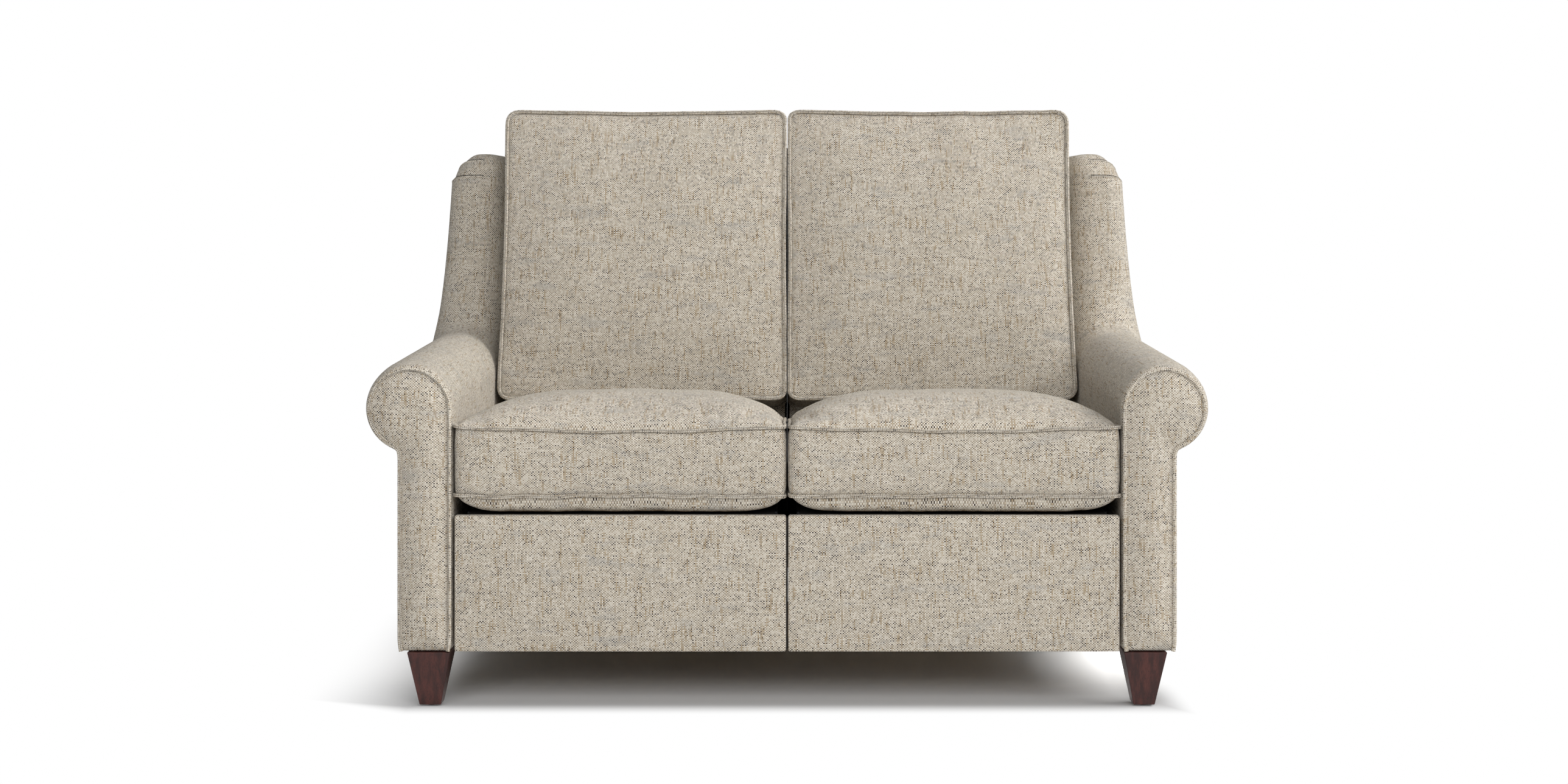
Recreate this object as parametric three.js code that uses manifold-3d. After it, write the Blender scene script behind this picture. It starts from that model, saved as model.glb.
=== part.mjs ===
// A high back settee for two, with rolled arms that sweep up into wings.
// Each seat slides forward as its back reclines between the wings, and each has
// a footrest that folds out from under it. Millimetres, +Z up, front towards -Y.
// The origin is on the floor, under the middle of the settee.

import * as THREE from 'three';
import { mergeVertices } from 'three/addons/utils/BufferGeometryUtils.js';
import Module from 'manifold-3d';

// Overall depth, and how it is shared out from the rear
const overallDepth = 965;
const rearLean = 65;
const armRearInset = 45;
const hingeFromRear = 305;

// Fits between pieces
const fitGap = 0.3;
const runningGap = 0.5;
const weldTolerance = 0.0005;
const cutOverrun = 2;

// Seat cushion, which sets the width of each place
const cushionWidth = 584;
const cushionSetback = 5;
const cushionMeet = 6;
const centreGap = 6;
const armGap = 4;
const cushionBottom = 343;
const seatBelly = 33;
const seatBoxing = 117;
const seatCrown = 42;
const seatCrownPower = 3;
const seatBellyPower = 16;
const seatRestShare = 0.7;
const seatCornerRadius = 20;
const seatSideDraw = 4;
const seatBulge = 2;

// Back cushion, measured along the raked back
const backRake = THREE.MathUtils.degToRad(13.8);
const backCushionNarrow = 5;
const backCushionHeight = 607;
const backCushionStart = 133;
const backFaceSetback = 137;
const backBoxing = 120;
const backCrown = 26;
const backRearCrown = 12;
const backCrownPower = 2.6;
const backBellyPower = 60;
const backRestShare = 0.93;
const backCornerRadius = 28;
const backSideDraw = 5;
const backBulge = 2;

// Arm: a welted front panel with a roll on a straight post, and the pad behind it
const armHeight = 603;
const rollRadius = 75;
const postWidth = 96;
const armFrontThickness = 18;
const armFrontRounding = 4;
const padSwell = 7;
const padSwellDepth = 90;
const padSwellPower = 0.5;
const armRise = 17;

// Wing: the arm's pad carried up beside the back
const wingHeight = 990;
const wingDepthLow = 280;
const wingDepthHigh = 175;
const wingWidthLow = 154;
const wingWidthHigh = 117;
const wingFrontRounding = 46;
const wingRearRounding = 18;
const wingTopRounding = 42;
const wingTopDraw = 21;
const wingNarrowPower = 0.7;
const wingClimbPower = 3;

// Plywood side inside each arm and wing
const sideBoardThickness = 20;
const sideBoardInset = 38;
const sideBoardFront = 40;
const sideBoardRearInset = 24;
const sideBoardDrop = 60;
const sidePostDepth = 84;
const sidePostDrop = 78;

// Legs and glides
const legHeight = 97;
const legTop = 76;
const legBottom = 38;
const legFrontInset = 8;
const legSideInset = 3;
const glideHeight = 3;
const glideDiameter = 17;

// Base between the arms
const stretcherFront = 140;
const railThickness = 25;
const railHeight = 60;
const trackWidth = 30;
const trackHeight = 30;
const lowerBackHeight = 225;
const lowerBackThickness = 16;

// Seat carrier
const plateInset = 15;
const plateThickness = 4;
const plateWaist = 62;
const seatFrameFront = 97;
const seatFrameHingeGap = 35;
const seatFrameRail = 30;
const seatLipFront = 42;
const seatLipThickness = 18;
const seatFrameHeight = 38;
const springWire = 3.5;
const springsPerSeat = 3;
const springWaves = 5;
const springSwing = 24;
const springEndInset = 8;

// Reclining back
const hingeDrop = 13;
const hingeLug = 20;
const outsideBackRise = 30;
const backSeamGap = 4;
const outsideBackThickness = 24;
const outsideBackRounding = 5;
const backFrameDrop = 16;
const backBoardThickness = 20;
const backLugRise = 42;

// Footrest: two pairs of links and a padded panel
const footPivotDepth = 80;
const footPivotDrop = 43;
const kneeClearance = 15;
const anchorReach = 25;
const anchorDrop = 10;
const armLinkWidth = 24;
const panelLinkWidth = 22;
const linkThickness = 6;
const linkGap = 0.4;
const pivotRadius = 5;
const pivotClearance = 0.4;
const pivotRoot = 3;
const spreaderDrop = 30;
const spreaderRadius = 9;
const footrestSetback = 6;
const footrestPadThickness = 22;
const footrestTopGap = 4;
const footrestRounding = 5;
const footrestBoardThickness = 12;
const footrestBoardInset = 3;
const earThickness = 4;
const earHeight = 24;

// How finely round shapes are divided
const rollSteps = 14;
const cornerSteps = 4;
const sideSteps = 5;
const rodSides = 12;
const bevelSteps = 2;
const springStepsPerBend = 2;
const springTension = 0.5;

// Places that follow from the sizes above
const bodyBottom = glideHeight + legHeight;
const seatInner = centreGap / 2;
const seatOuter = seatInner + cushionWidth;
const bayHalf = seatOuter + armGap;
const backCushionWidth = cushionWidth - backCushionNarrow;
const postOuter = bayHalf + postWidth;
const armRear = overallDepth - armRearInset;
const wingFrontLow = armRear - wingDepthLow;
const wingFrontHigh = armRear - wingDepthHigh;
const sideBoardRear = armRear - sideBoardRearInset;
const hingeDepth = overallDepth - hingeFromRear;
const hingeHeight = cushionBottom - hingeDrop;
const backFoot = hingeDepth + backCushionStart * Math.sin(backRake) - backFaceSetback * Math.cos(backRake);
const cushionDepth = backFoot - cushionMeet - cushionSetback;
const footPivotHeight = cushionBottom - footPivotDrop;
const armLinkLength = footPivotHeight - bodyBottom - kneeClearance;
const anchorDepth = footPivotDepth - anchorReach;
const anchorHeight = footPivotHeight - anchorDrop;
const wingBase = armHeight - rollRadius + armRise;
const cushionMiddle = cushionBottom + seatBelly + seatBoxing / 2;
const springTop = cushionBottom - fitGap;
const seatFrameTop = springTop - springWire - fitGap;
const seatFrameRear = hingeDepth - seatFrameHingeGap;
const trackTop = bodyBottom + railHeight;
const lowerBackFront = armRear - lowerBackThickness;
const rearRailFront = lowerBackFront - fitGap - railThickness;
const plateInner = seatInner + plateInset;
const plateOuter = seatOuter - plateInset;
const outsideBackLow = overallDepth - rearLean;
const outsideBackTop = wingHeight + outsideBackRise;
const outsideBackSlope = rearLean / (outsideBackTop - hingeHeight);
const outsideBackBottom = bodyBottom + lowerBackHeight + backSeamGap;
const backFrameBottom = hingeHeight - backFrameDrop;
const backFrameSetback = backBoxing + backRearCrown - backFaceSetback + fitGap;

// Materials: a new one for each piece
const finishes = {
  fabric: { color: 0xc6bcac, roughness: 0.95, metalness: 0 },
  legWood: { color: 0x482a26, roughness: 0.4, metalness: 0 },
  frameWood: { color: 0xc8a878, roughness: 0.8, metalness: 0 },
  steel: { color: 0x2b2c2e, roughness: 0.45, metalness: 0.9 },
  springSteel: { color: 0x8c8f92, roughness: 0.35, metalness: 1 },
  glide: { color: 0x161616, roughness: 0.6, metalness: 0 },
};

const settee = new THREE.Group();
settee.position.y = -overallDepth / 2;

function addPiece(group, name, geometry, finish) {
  const piece = new THREE.Mesh(geometry, new THREE.MeshStandardMaterial(finishes[finish]));
  piece.name = name;
  group.add(piece);
  return piece;
}

// Geometry helpers

const wasm = await Module();
wasm.setup();

function welded(geometry) {
  const bare = geometry.clone();
  bare.deleteAttribute('normal');
  bare.deleteAttribute('uv');
  return mergeVertices(bare, weldTolerance);
}

function toSolid(geometry) {
  const bare = welded(geometry);
  return new wasm.Manifold(new wasm.Mesh({
    numProp: 3,
    vertProperties: Float32Array.from(bare.attributes.position.array),
    triVerts: Uint32Array.from(bare.index.array),
  }));
}

function toGeometry(solid) {
  const mesh = solid.getMesh();
  const geometry = new THREE.BufferGeometry();
  const places = Float32Array.from(mesh.vertProperties);
  geometry.setAttribute('position', new THREE.BufferAttribute(places, mesh.numProp));
  geometry.setIndex(new THREE.BufferAttribute(Uint32Array.from(mesh.triVerts), 1));
  return geometry;
}

function join(...geometries) {
  return toGeometry(geometries.map(toSolid).reduce((whole, part) => whole.add(part)));
}

function cut(geometry, ...tools) {
  return toGeometry(tools.map(toSolid).reduce((left, tool) => left.subtract(tool), toSolid(geometry)));
}

function turnedFaces(geometry) {
  const index = geometry.index.array;
  for (let corner = 0; corner < index.length; corner += 3) {
    [index[corner + 1], index[corner + 2]] = [index[corner + 2], index[corner + 1]];
  }
  return geometry;
}

function mirrored(geometry) {
  return turnedFaces(welded(geometry).scale(-1, 1, 1));
}

// Right-hand pieces are modelled at +X; a left-hand one is their mirror image
function handed(geometry, side) {
  return side === 'left' ? mirrored(geometry) : geometry;
}

function signedVolume(geometry) {
  const place = geometry.attributes.position;
  const index = geometry.index.array;
  const [a, b, c] = [new THREE.Vector3(), new THREE.Vector3(), new THREE.Vector3()];
  let volume = 0;
  for (let corner = 0; corner < index.length; corner += 3) {
    a.fromBufferAttribute(place, index[corner]);
    b.fromBufferAttribute(place, index[corner + 1]);
    c.fromBufferAttribute(place, index[corner + 2]);
    volume += a.dot(b.cross(c)) / 6;
  }
  return volume;
}

// A skin through a row of rings, each an equal list of [x, y, z], closed by flat ends
function loft(rings, flatten) {
  const count = rings[0].length;
  const index = [];
  for (let ring = 0; ring + 1 < rings.length; ring += 1) {
    for (let spot = 0; spot < count; spot += 1) {
      const next = (spot + 1) % count;
      const here = ring * count;
      const there = here + count;
      index.push(here + spot, here + next, there + next);
      index.push(here + spot, there + next, there + spot);
    }
  }
  for (const ring of [0, rings.length - 1]) {
    const outline = rings[ring].map(flatten);
    const turn = Math.sign(THREE.ShapeUtils.area(outline));
    for (const face of THREE.ShapeUtils.triangulateShape(outline, [])) {
      const same = Math.sign(THREE.ShapeUtils.area(face.map((spot) => outline[spot]))) === turn;
      const forward = same === (ring > 0);
      const [a, b, c] = face.map((spot) => ring * count + spot);
      index.push(a, ...(forward ? [b, c] : [c, b]));
    }
  }
  const geometry = new THREE.BufferGeometry();
  geometry.setAttribute('position', new THREE.Float32BufferAttribute(rings.flat(2), 3));
  geometry.setIndex(index);
  return signedVolume(geometry) < 0 ? turnedFaces(geometry) : geometry;
}

function outlineShape(points) {
  return new THREE.Shape(points.map(([across, up]) => new THREE.Vector2(across, up)));
}

// An outline of [depth, height] points, drawn out sideways from one x to another
function drawnAcross(points, from, to) {
  const geometry = new THREE.ExtrudeGeometry(outlineShape(points), { depth: to - from, bevelEnabled: false });
  const turn = new THREE.Matrix4();
  turn.makeBasis(new THREE.Vector3(0, 1, 0), new THREE.Vector3(0, 0, 1), new THREE.Vector3(1, 0, 0));
  return geometry.applyMatrix4(turn).translate(from, 0, 0);
}

// An outline of [x, height] points, drawn back from one depth to another, its edges rounded
function drawnBack(points, from, to, rounding) {
  const geometry = new THREE.ExtrudeGeometry(outlineShape(points), {
    depth: to - from - 2 * rounding,
    bevelEnabled: rounding > 0,
    bevelThickness: rounding,
    bevelSize: rounding,
    bevelOffset: -rounding,
    bevelSegments: bevelSteps,
  });
  return geometry.rotateX(Math.PI / 2).translate(0, to - rounding, 0);
}

function block(fromX, toX, fromDepth, toDepth, fromZ, toZ) {
  const geometry = new THREE.BoxGeometry(toX - fromX, toDepth - fromDepth, toZ - fromZ);
  return geometry.translate((fromX + toX) / 2, (fromDepth + toDepth) / 2, (fromZ + toZ) / 2);
}

function upright(radius, height, baseZ) {
  const geometry = new THREE.CylinderGeometry(radius, radius, height, rodSides);
  return geometry.rotateX(Math.PI / 2).translate(0, 0, baseZ + height / 2);
}

function crossRod(radius, fromX, toX, depth, height) {
  const geometry = new THREE.CylinderGeometry(radius, radius, toX - fromX, rodSides);
  return geometry.rotateZ(Math.PI / 2).translate((fromX + toX) / 2, depth, height);
}

// A flat bar with round ends, from one [depth, height] point to another
function linkOutline(from, to, width) {
  const along = Math.atan2(to[1] - from[1], to[0] - from[0]);
  const points = [];
  for (const [centre, start] of [[to, along - Math.PI / 2], [from, along + Math.PI / 2]]) {
    for (let step = 0; step <= cornerSteps; step += 1) {
      const angle = start + (Math.PI * step) / cornerSteps;
      points.push([centre[0] + (width / 2) * Math.cos(angle), centre[1] + (width / 2) * Math.sin(angle)]);
    }
  }
  return points;
}

// Plan of a cushion: round corners, and sides drawn in between them
function cushionOutline(width, length, radius, draw) {
  const corners = [
    [width / 2 - radius, length / 2 - radius],
    [radius - width / 2, length / 2 - radius],
    [radius - width / 2, radius - length / 2],
    [width / 2 - radius, radius - length / 2],
  ];
  const points = [];
  corners.forEach(([x, y], corner) => {
    const start = (corner * Math.PI) / 2;
    for (let step = 0; step <= cornerSteps; step += 1) {
      const angle = start + (step * Math.PI) / 2 / cornerSteps;
      points.push([x + radius * Math.cos(angle), y + radius * Math.sin(angle)]);
    }
    const [fromX, fromY] = points[points.length - 1];
    const [nextX, nextY] = corners[(corner + 1) % 4];
    const facing = start + Math.PI / 2;
    const toX = nextX + radius * Math.cos(facing);
    const toY = nextY + radius * Math.sin(facing);
    for (let step = 1; step <= sideSteps; step += 1) {
      const share = step / (sideSteps + 1);
      const inward = draw * Math.sin(Math.PI * share);
      points.push([
        fromX + (toX - fromX) * share - inward * Math.cos(facing),
        fromY + (toY - fromY) * share - inward * Math.sin(facing),
      ]);
    }
  });
  return points;
}

// A boxed cushion lying flat round the origin: crown above, side bulging a little, and a belly
// below that is flat out to the rest share
const crownShares = [0.16, 0.42, 0.64, 0.8, 0.92];
const bellyRimShares = [0.06, 0.22, 0.5];

function boxedCushion({
  width, length, radius, draw, boxing, bulge, crown, crownPower, belly, bellyPower, restShare,
}) {
  const outline = cushionOutline(width, length, radius, draw);
  const ringAt = (share, height) => outline.map(([x, y]) => [x * share, y * share, height]);
  const fullness = (x, y, power) => (1 - Math.abs((2 * x) / width) ** power)
    * (1 - Math.abs((2 * y) / length) ** power);
  const domed = (share, base, rise, power) => ringAt(share, base).map(([x, y, height]) => (
    [x, y, height + rise * fullness(x, y, power)]
  ));
  const swollen = outline.map(([x, y]) => [x * (1 + (2 * bulge) / width), y * (1 + (2 * bulge) / length), 0]);
  const rings = [
    ...crownShares.map((share) => domed(share, boxing / 2, crown, crownPower)),
    ringAt(1, boxing / 2),
    swollen,
    ringAt(1, -boxing / 2),
    ...bellyRimShares.map((rim) => domed(1 - rim * (1 - restShare), -boxing / 2, -belly, bellyPower)),
    ringAt(restShare, -boxing / 2 - belly),
  ];
  return loft(rings, ([x, y]) => new THREE.Vector2(x, y));
}

// Arms

// Front view of an arm: a post with a roll on top, leaning outwards from it
function armOutline(radius, centreZ, grow) {
  const centreX = bayHalf + radius;
  const reach = radius + grow;
  const outer = postOuter + grow;
  const neck = -Math.acos((outer - centreX) / reach);
  const points = [[bayHalf - grow, bodyBottom - grow]];
  for (let step = 0; step <= rollSteps; step += 1) {
    const angle = Math.PI + ((neck - Math.PI) * step) / rollSteps;
    points.push([centreX + reach * Math.cos(angle), centreZ + reach * Math.sin(angle)]);
  }
  points.push([outer, bodyBottom - grow]);
  return points;
}

function armFrontPanel() {
  return drawnBack(armOutline(rollRadius, armHeight - rollRadius, 0), 0, armFrontThickness, armFrontRounding);
}

// The pad swells behind the front panel and climbs a little towards the wing
const armPadShares = [0, 0.35, 1];
const armRiseShares = [0.4, 0.7, 1];

function armPadBody(grow) {
  const front = armFrontThickness + fitGap;
  const centreZ = armHeight - rollRadius;
  const depths = [
    ...armPadShares.map((share) => [front + share * padSwellDepth, share ** padSwellPower, 0]),
    ...armRiseShares.map((share) => [front + padSwellDepth + share * (wingFrontLow - padSwellDepth), 1, share]),
    [armRear, 1, 1],
  ];
  const rings = depths.map(([depth, swell, rise], spot) => {
    const end = spot === 0 ? -grow : 0;
    const endStep = spot === depths.length - 1 ? grow : end;
    const radius = rollRadius + padSwell * swell;
    return armOutline(radius, centreZ + armRise * rise, grow).map(([x, z]) => [x, depth + endStep, z]);
  });
  return loft(rings, ([x, , z]) => new THREE.Vector2(x, z));
}

const sideBoardX = bayHalf + sideBoardInset;
const sidePostRear = sideBoardRear - fitGap;
const sidePostFront = sidePostRear - sidePostDepth;

// Plywood side: a low board along the arm with a post standing up into the wing
function sideBoard(grow) {
  const low = bodyBottom + fitGap - grow;
  const armTop = armHeight - sideBoardDrop + grow;
  const wingTop = wingHeight - sidePostDrop + grow;
  const outline = [
    [sideBoardFront - grow, low],
    [sideBoardRear + grow, low],
    [sideBoardRear + grow, armTop],
    [sidePostRear + grow, armTop],
    [sidePostRear + grow, wingTop],
    [sidePostFront - grow, wingTop],
    [sidePostFront - grow, armTop],
    [sideBoardFront - grow, armTop],
  ];
  return drawnAcross(outline, sideBoardX - grow, sideBoardX + sideBoardThickness + grow);
}

function sideSlot() {
  const drop = block(
    sideBoardX - fitGap,
    sideBoardX + sideBoardThickness + fitGap,
    sideBoardFront - fitGap,
    sideBoardRear + fitGap,
    bodyBottom - cutOverrun,
    bodyBottom + cutOverrun,
  );
  return join(sideBoard(fitGap), drop);
}

function armPad() {
  return cut(armPadBody(0), sideSlot());
}

// Wings

function outsideBackDepth(height) {
  return outsideBackLow + (height - hingeHeight) * outsideBackSlope;
}

// Level section of a wing: inner side flat against the back, front corners round
function wingSection(share, height, inset) {
  const width = wingWidthLow + (wingWidthHigh - wingWidthLow) * share ** wingNarrowPower;
  const climb = 1 - (1 - share) ** wingClimbPower;
  const front = wingFrontLow + (wingFrontHigh - wingFrontLow) * climb + inset;
  const rear = Math.max(armRear, outsideBackDepth(height)) - inset;
  const inner = bayHalf + inset;
  const outer = bayHalf + width - inset;
  const frontRadius = wingFrontRounding - inset / 2;
  const rearRadius = wingRearRounding;
  const corners = [
    [outer - rearRadius, rear - rearRadius, rearRadius],
    [inner + rearRadius, rear - rearRadius, rearRadius],
    [inner + frontRadius, front + frontRadius, frontRadius],
    [outer - frontRadius, front + frontRadius, frontRadius],
  ];
  return corners.flatMap(([x, depth, radius], corner) => {
    const points = [];
    for (let step = 0; step <= cornerSteps; step += 1) {
      const angle = ((corner + step / cornerSteps) * Math.PI) / 2;
      points.push([x + radius * Math.cos(angle), depth + radius * Math.sin(angle), height]);
    }
    return points;
  });
}

const wingShares = [0, 0.12, 0.24, 0.38, 0.55, 0.75];
const wingTopSteps = 4;

function wingPad() {
  const straight = wingHeight - wingTopRounding - wingBase;
  const rings = wingShares.map((share) => wingSection(share, wingBase + share * straight, 0));
  for (let step = 0; step <= wingTopSteps; step += 1) {
    const angle = (step * Math.PI) / 2 / (wingTopSteps + 1);
    const height = wingBase + straight + wingTopRounding * Math.sin(angle);
    rings.push(wingSection(1, height, wingTopDraw * (1 - Math.cos(angle))));
  }
  rings.push(wingSection(1, wingHeight, wingTopDraw));
  return cut(loft(rings, ([x, y]) => new THREE.Vector2(x, y)), armPadBody(fitGap), sideBoard(fitGap));
}

// Legs and glides

const legCentreX = bayHalf + legSideInset + legTop / 2;
const legDepths = {
  front: legFrontInset + legTop / 2,
  rear: armRear - legFrontInset - legTop / 2,
};

function taperedLeg() {
  const geometry = new THREE.CylinderGeometry(
    legTop / Math.SQRT2,
    legBottom / Math.SQRT2,
    legHeight - fitGap,
    4,
  );
  return geometry.rotateY(Math.PI / 4).rotateX(Math.PI / 2).translate(0, 0, glideHeight + (legHeight - fitGap) / 2);
}

for (const side of ['left', 'right']) {
  const sign = side === 'left' ? -1 : 1;
  addPiece(settee, `arm_front_panel_${side}`, handed(armFrontPanel(), side), 'fabric');
  addPiece(settee, `arm_pad_${side}`, handed(armPad(), side), 'fabric');
  addPiece(settee, `wing_pad_${side}`, handed(wingPad(), side), 'fabric');
  addPiece(settee, `side_frame_${side}`, handed(sideBoard(0), side), 'frameWood');
  for (const [end, depth] of Object.entries(legDepths)) {
    const leg = addPiece(settee, `leg_${end}_${side}`, taperedLeg(), 'legWood');
    leg.position.set(sign * legCentreX, depth, 0);
    const disc = upright(glideDiameter / 2, glideHeight - fitGap, 0);
    const glide = addPiece(settee, `glide_${end}_${side}`, disc, 'glide');
    glide.position.set(sign * legCentreX, depth, 0);
  }
}

// Pivots, as [depth, height]
const hinge = [hingeDepth, hingeHeight];
const footPivot = [footPivotDepth, footPivotHeight];
const knee = [footPivotDepth, footPivotHeight - armLinkLength];
const anchor = [anchorDepth, anchorHeight];

// Base rails between the arms
const railHalf = bayHalf - fitGap;
const stretcherRear = stretcherFront + railThickness;
const railLow = bodyBottom + fitGap;

addPiece(
  settee,
  'front_stretcher',
  block(-railHalf, railHalf, stretcherFront, stretcherRear, railLow, trackTop),
  'frameWood',
);
addPiece(
  settee,
  'rear_rail',
  block(-railHalf, railHalf, rearRailFront, rearRailFront + railThickness, railLow, trackTop),
  'frameWood',
);
addPiece(
  settee,
  'lower_back_panel',
  block(-railHalf, railHalf, lowerBackFront, armRear, bodyBottom, bodyBottom + lowerBackHeight),
  'fabric',
);

// One seat, modelled at the right and mirrored for the left

// A pivot pin that stands out of a piece towards the middle of the seat, or a hole for one
function pivot(edge, fromFace, length, [depth, height], clearance) {
  const inward = edge === 'inner' ? 1 : -1;
  const root = fromFace - inward * pivotRoot;
  const end = fromFace + inward * length;
  return crossRod(pivotRadius + clearance, Math.min(root, end), Math.max(root, end), depth, height);
}

// Zigzag spring wire laid flat, from the front rail to the rear rail
const springBendShares = [0.3, 0.7];

function zigzagSpring(centreX) {
  const start = seatFrameFront + springEndInset;
  const run = seatFrameRear - springEndInset - start;
  const turns = springWaves * 2;
  const height = springTop - springWire / 2;
  const points = [new THREE.Vector3(centreX, start, height)];
  for (let turn = 0; turn < turns; turn += 1) {
    const reach = turn % 2 === 0 ? springSwing : -springSwing;
    for (const place of springBendShares) {
      points.push(new THREE.Vector3(centreX + reach, start + (run * (turn + place)) / turns, height));
    }
  }
  points.push(new THREE.Vector3(centreX, start + run, height));
  const half = springWire / 2;
  const section = outlineShape([[-half, -half], [half, -half], [half, half], [-half, half]]);
  const smooth = new THREE.CatmullRomCurve3(points, false, 'catmullrom', springTension);
  return new THREE.ExtrudeGeometry(section, { steps: (points.length - 1) * springStepsPerBend, extrudePath: smooth });
}

// Steel side plate: runs on its track and carries the footrest's links and the back's hinge
function sidePlateOutline() {
  const low = trackTop + runningGap;
  const top = seatFrameTop;
  const nose = armLinkWidth / 2;
  return [
    [footPivotDepth - nose, footPivotHeight - nose],
    [stretcherFront, footPivotHeight - plateWaist],
    [stretcherRear, low],
    [hingeDepth - plateWaist, low],
    [hingeDepth + hingeLug, hingeHeight - hingeLug],
    [hingeDepth + hingeLug, hingeHeight + hingeLug],
    [hingeDepth - hingeLug, hingeHeight + hingeLug],
    [hingeDepth - plateWaist, top],
    [footPivotDepth - nose, top],
  ];
}

// Seat frame: a ring, with a lip that carries the cushion's front over the footrest's links
function seatFrame(fromX, toX) {
  const low = seatFrameTop - seatFrameHeight;
  const hole = block(
    fromX + seatFrameRail,
    toX - seatFrameRail,
    seatFrameFront + seatFrameRail,
    seatFrameRear - seatFrameRail,
    low - cutOverrun,
    seatFrameTop + cutOverrun,
  );
  const ring = cut(block(fromX, toX, seatFrameFront, seatFrameRear, low, seatFrameTop), hole);
  const lipRear = seatFrameFront + seatFrameRail / 2;
  const lip = block(fromX, toX, seatLipFront, lipRear, seatFrameTop - seatLipThickness, seatFrameTop);
  return join(ring, lip);
}

function seatCushion() {
  const form = boxedCushion({
    width: cushionWidth,
    length: cushionDepth,
    radius: seatCornerRadius,
    draw: seatSideDraw,
    boxing: seatBoxing,
    bulge: seatBulge,
    crown: seatCrown,
    crownPower: seatCrownPower,
    belly: seatBelly,
    bellyPower: seatBellyPower,
    restShare: seatRestShare,
  });
  const middle = cushionSetback + cushionDepth / 2;
  return form.translate((seatInner + seatOuter) / 2, middle, cushionMiddle);
}

// Raked back: the frame's front face follows the cushion, its rear follows the outside back
function backFrameFront(height) {
  return hingeDepth + (height - hingeHeight) * Math.tan(backRake) + backFrameSetback / Math.cos(backRake);
}

function backFrameRear(height) {
  return outsideBackDepth(height) - outsideBackThickness - fitGap;
}

function backSlab(fromZ, toZ, fromX, toX) {
  return drawnAcross([
    [backFrameFront(fromZ), fromZ],
    [backFrameRear(fromZ), fromZ],
    [backFrameRear(toZ), toZ],
    [backFrameFront(toZ), toZ],
  ], fromX, toX);
}

// Back frame: two side boards with holes for the hinge pins, a top board and a bottom board
function backFrame(fromX, toX) {
  const top = outsideBackTop - fitGap;
  const lugTop = hingeHeight + hingeLug + backLugRise;
  const side = [
    [hingeDepth - hingeLug, backFrameBottom],
    [backFrameRear(backFrameBottom), backFrameBottom],
    [backFrameRear(top), top],
    [backFrameFront(top), top],
    [backFrameFront(lugTop), lugTop],
    [hingeDepth - hingeLug, hingeHeight + hingeLug],
  ];
  const inner = fromX + backBoardThickness;
  const outer = toX - backBoardThickness;
  const frame = join(
    drawnAcross(side, fromX, inner),
    drawnAcross(side, outer, toX),
    backSlab(top - backBoardThickness, top, inner - cutOverrun, outer + cutOverrun),
    backSlab(backFrameBottom, backFrameBottom + backBoardThickness, inner - cutOverrun, outer + cutOverrun),
  );
  return cut(
    frame,
    pivot('inner', fromX, backBoardThickness + cutOverrun, hinge, pivotClearance),
    pivot('outer', toX, backBoardThickness + cutOverrun, hinge, pivotClearance),
  );
}

function outsideBack() {
  const shape = outlineShape([
    [seatInner, outsideBackBottom],
    [seatOuter, outsideBackBottom],
    [seatOuter, outsideBackTop],
    [seatInner, outsideBackTop],
  ]);
  const lean = Math.atan(outsideBackSlope);
  const panel = new THREE.ExtrudeGeometry(shape, {
    depth: outsideBackThickness - 2 * outsideBackRounding,
    bevelThickness: outsideBackRounding,
    bevelSize: outsideBackRounding,
    bevelOffset: -outsideBackRounding,
    bevelSegments: bevelSteps,
  });
  panel.rotateX(Math.PI / 2).translate(0, -outsideBackRounding, -outsideBackTop);
  return panel.rotateX(-lean).translate(0, overallDepth, outsideBackTop);
}

function backCushion() {
  return boxedCushion({
    width: backCushionWidth,
    length: backCushionHeight,
    radius: backCornerRadius,
    draw: backSideDraw,
    boxing: backBoxing,
    bulge: backBulge,
    crown: backCrown,
    crownPower: backCrownPower,
    belly: backRearCrown,
    bellyPower: backBellyPower,
    restShare: backRestShare,
  });
}

// Footrest
const footrestTop = cushionBottom - footrestTopGap;
const boardFront = footrestSetback + footrestPadThickness + fitGap;
const boardRear = boardFront + footrestBoardThickness;

function footrestPad() {
  return drawnBack([
    [seatInner, bodyBottom],
    [seatOuter, bodyBottom],
    [seatOuter, footrestTop],
    [seatInner, footrestTop],
  ], footrestSetback, footrestSetback + footrestPadThickness, footrestRounding);
}

function footrestBoard(ears) {
  const board = block(
    seatInner + footrestBoardInset,
    seatOuter - footrestBoardInset,
    boardFront,
    boardRear,
    bodyBottom + footrestBoardInset,
    footrestTop - footrestBoardInset,
  );
  const pieces = ears.flatMap(({ x, edge, face, reach }) => [
    block(
      x,
      x + earThickness,
      boardRear - footrestBoardInset,
      anchorDepth + panelLinkWidth / 2,
      anchorHeight - earHeight / 2,
      anchorHeight + earHeight / 2,
    ),
    pivot(edge, face, reach, anchor, 0),
  ]);
  return join(board, ...pieces);
}

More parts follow.
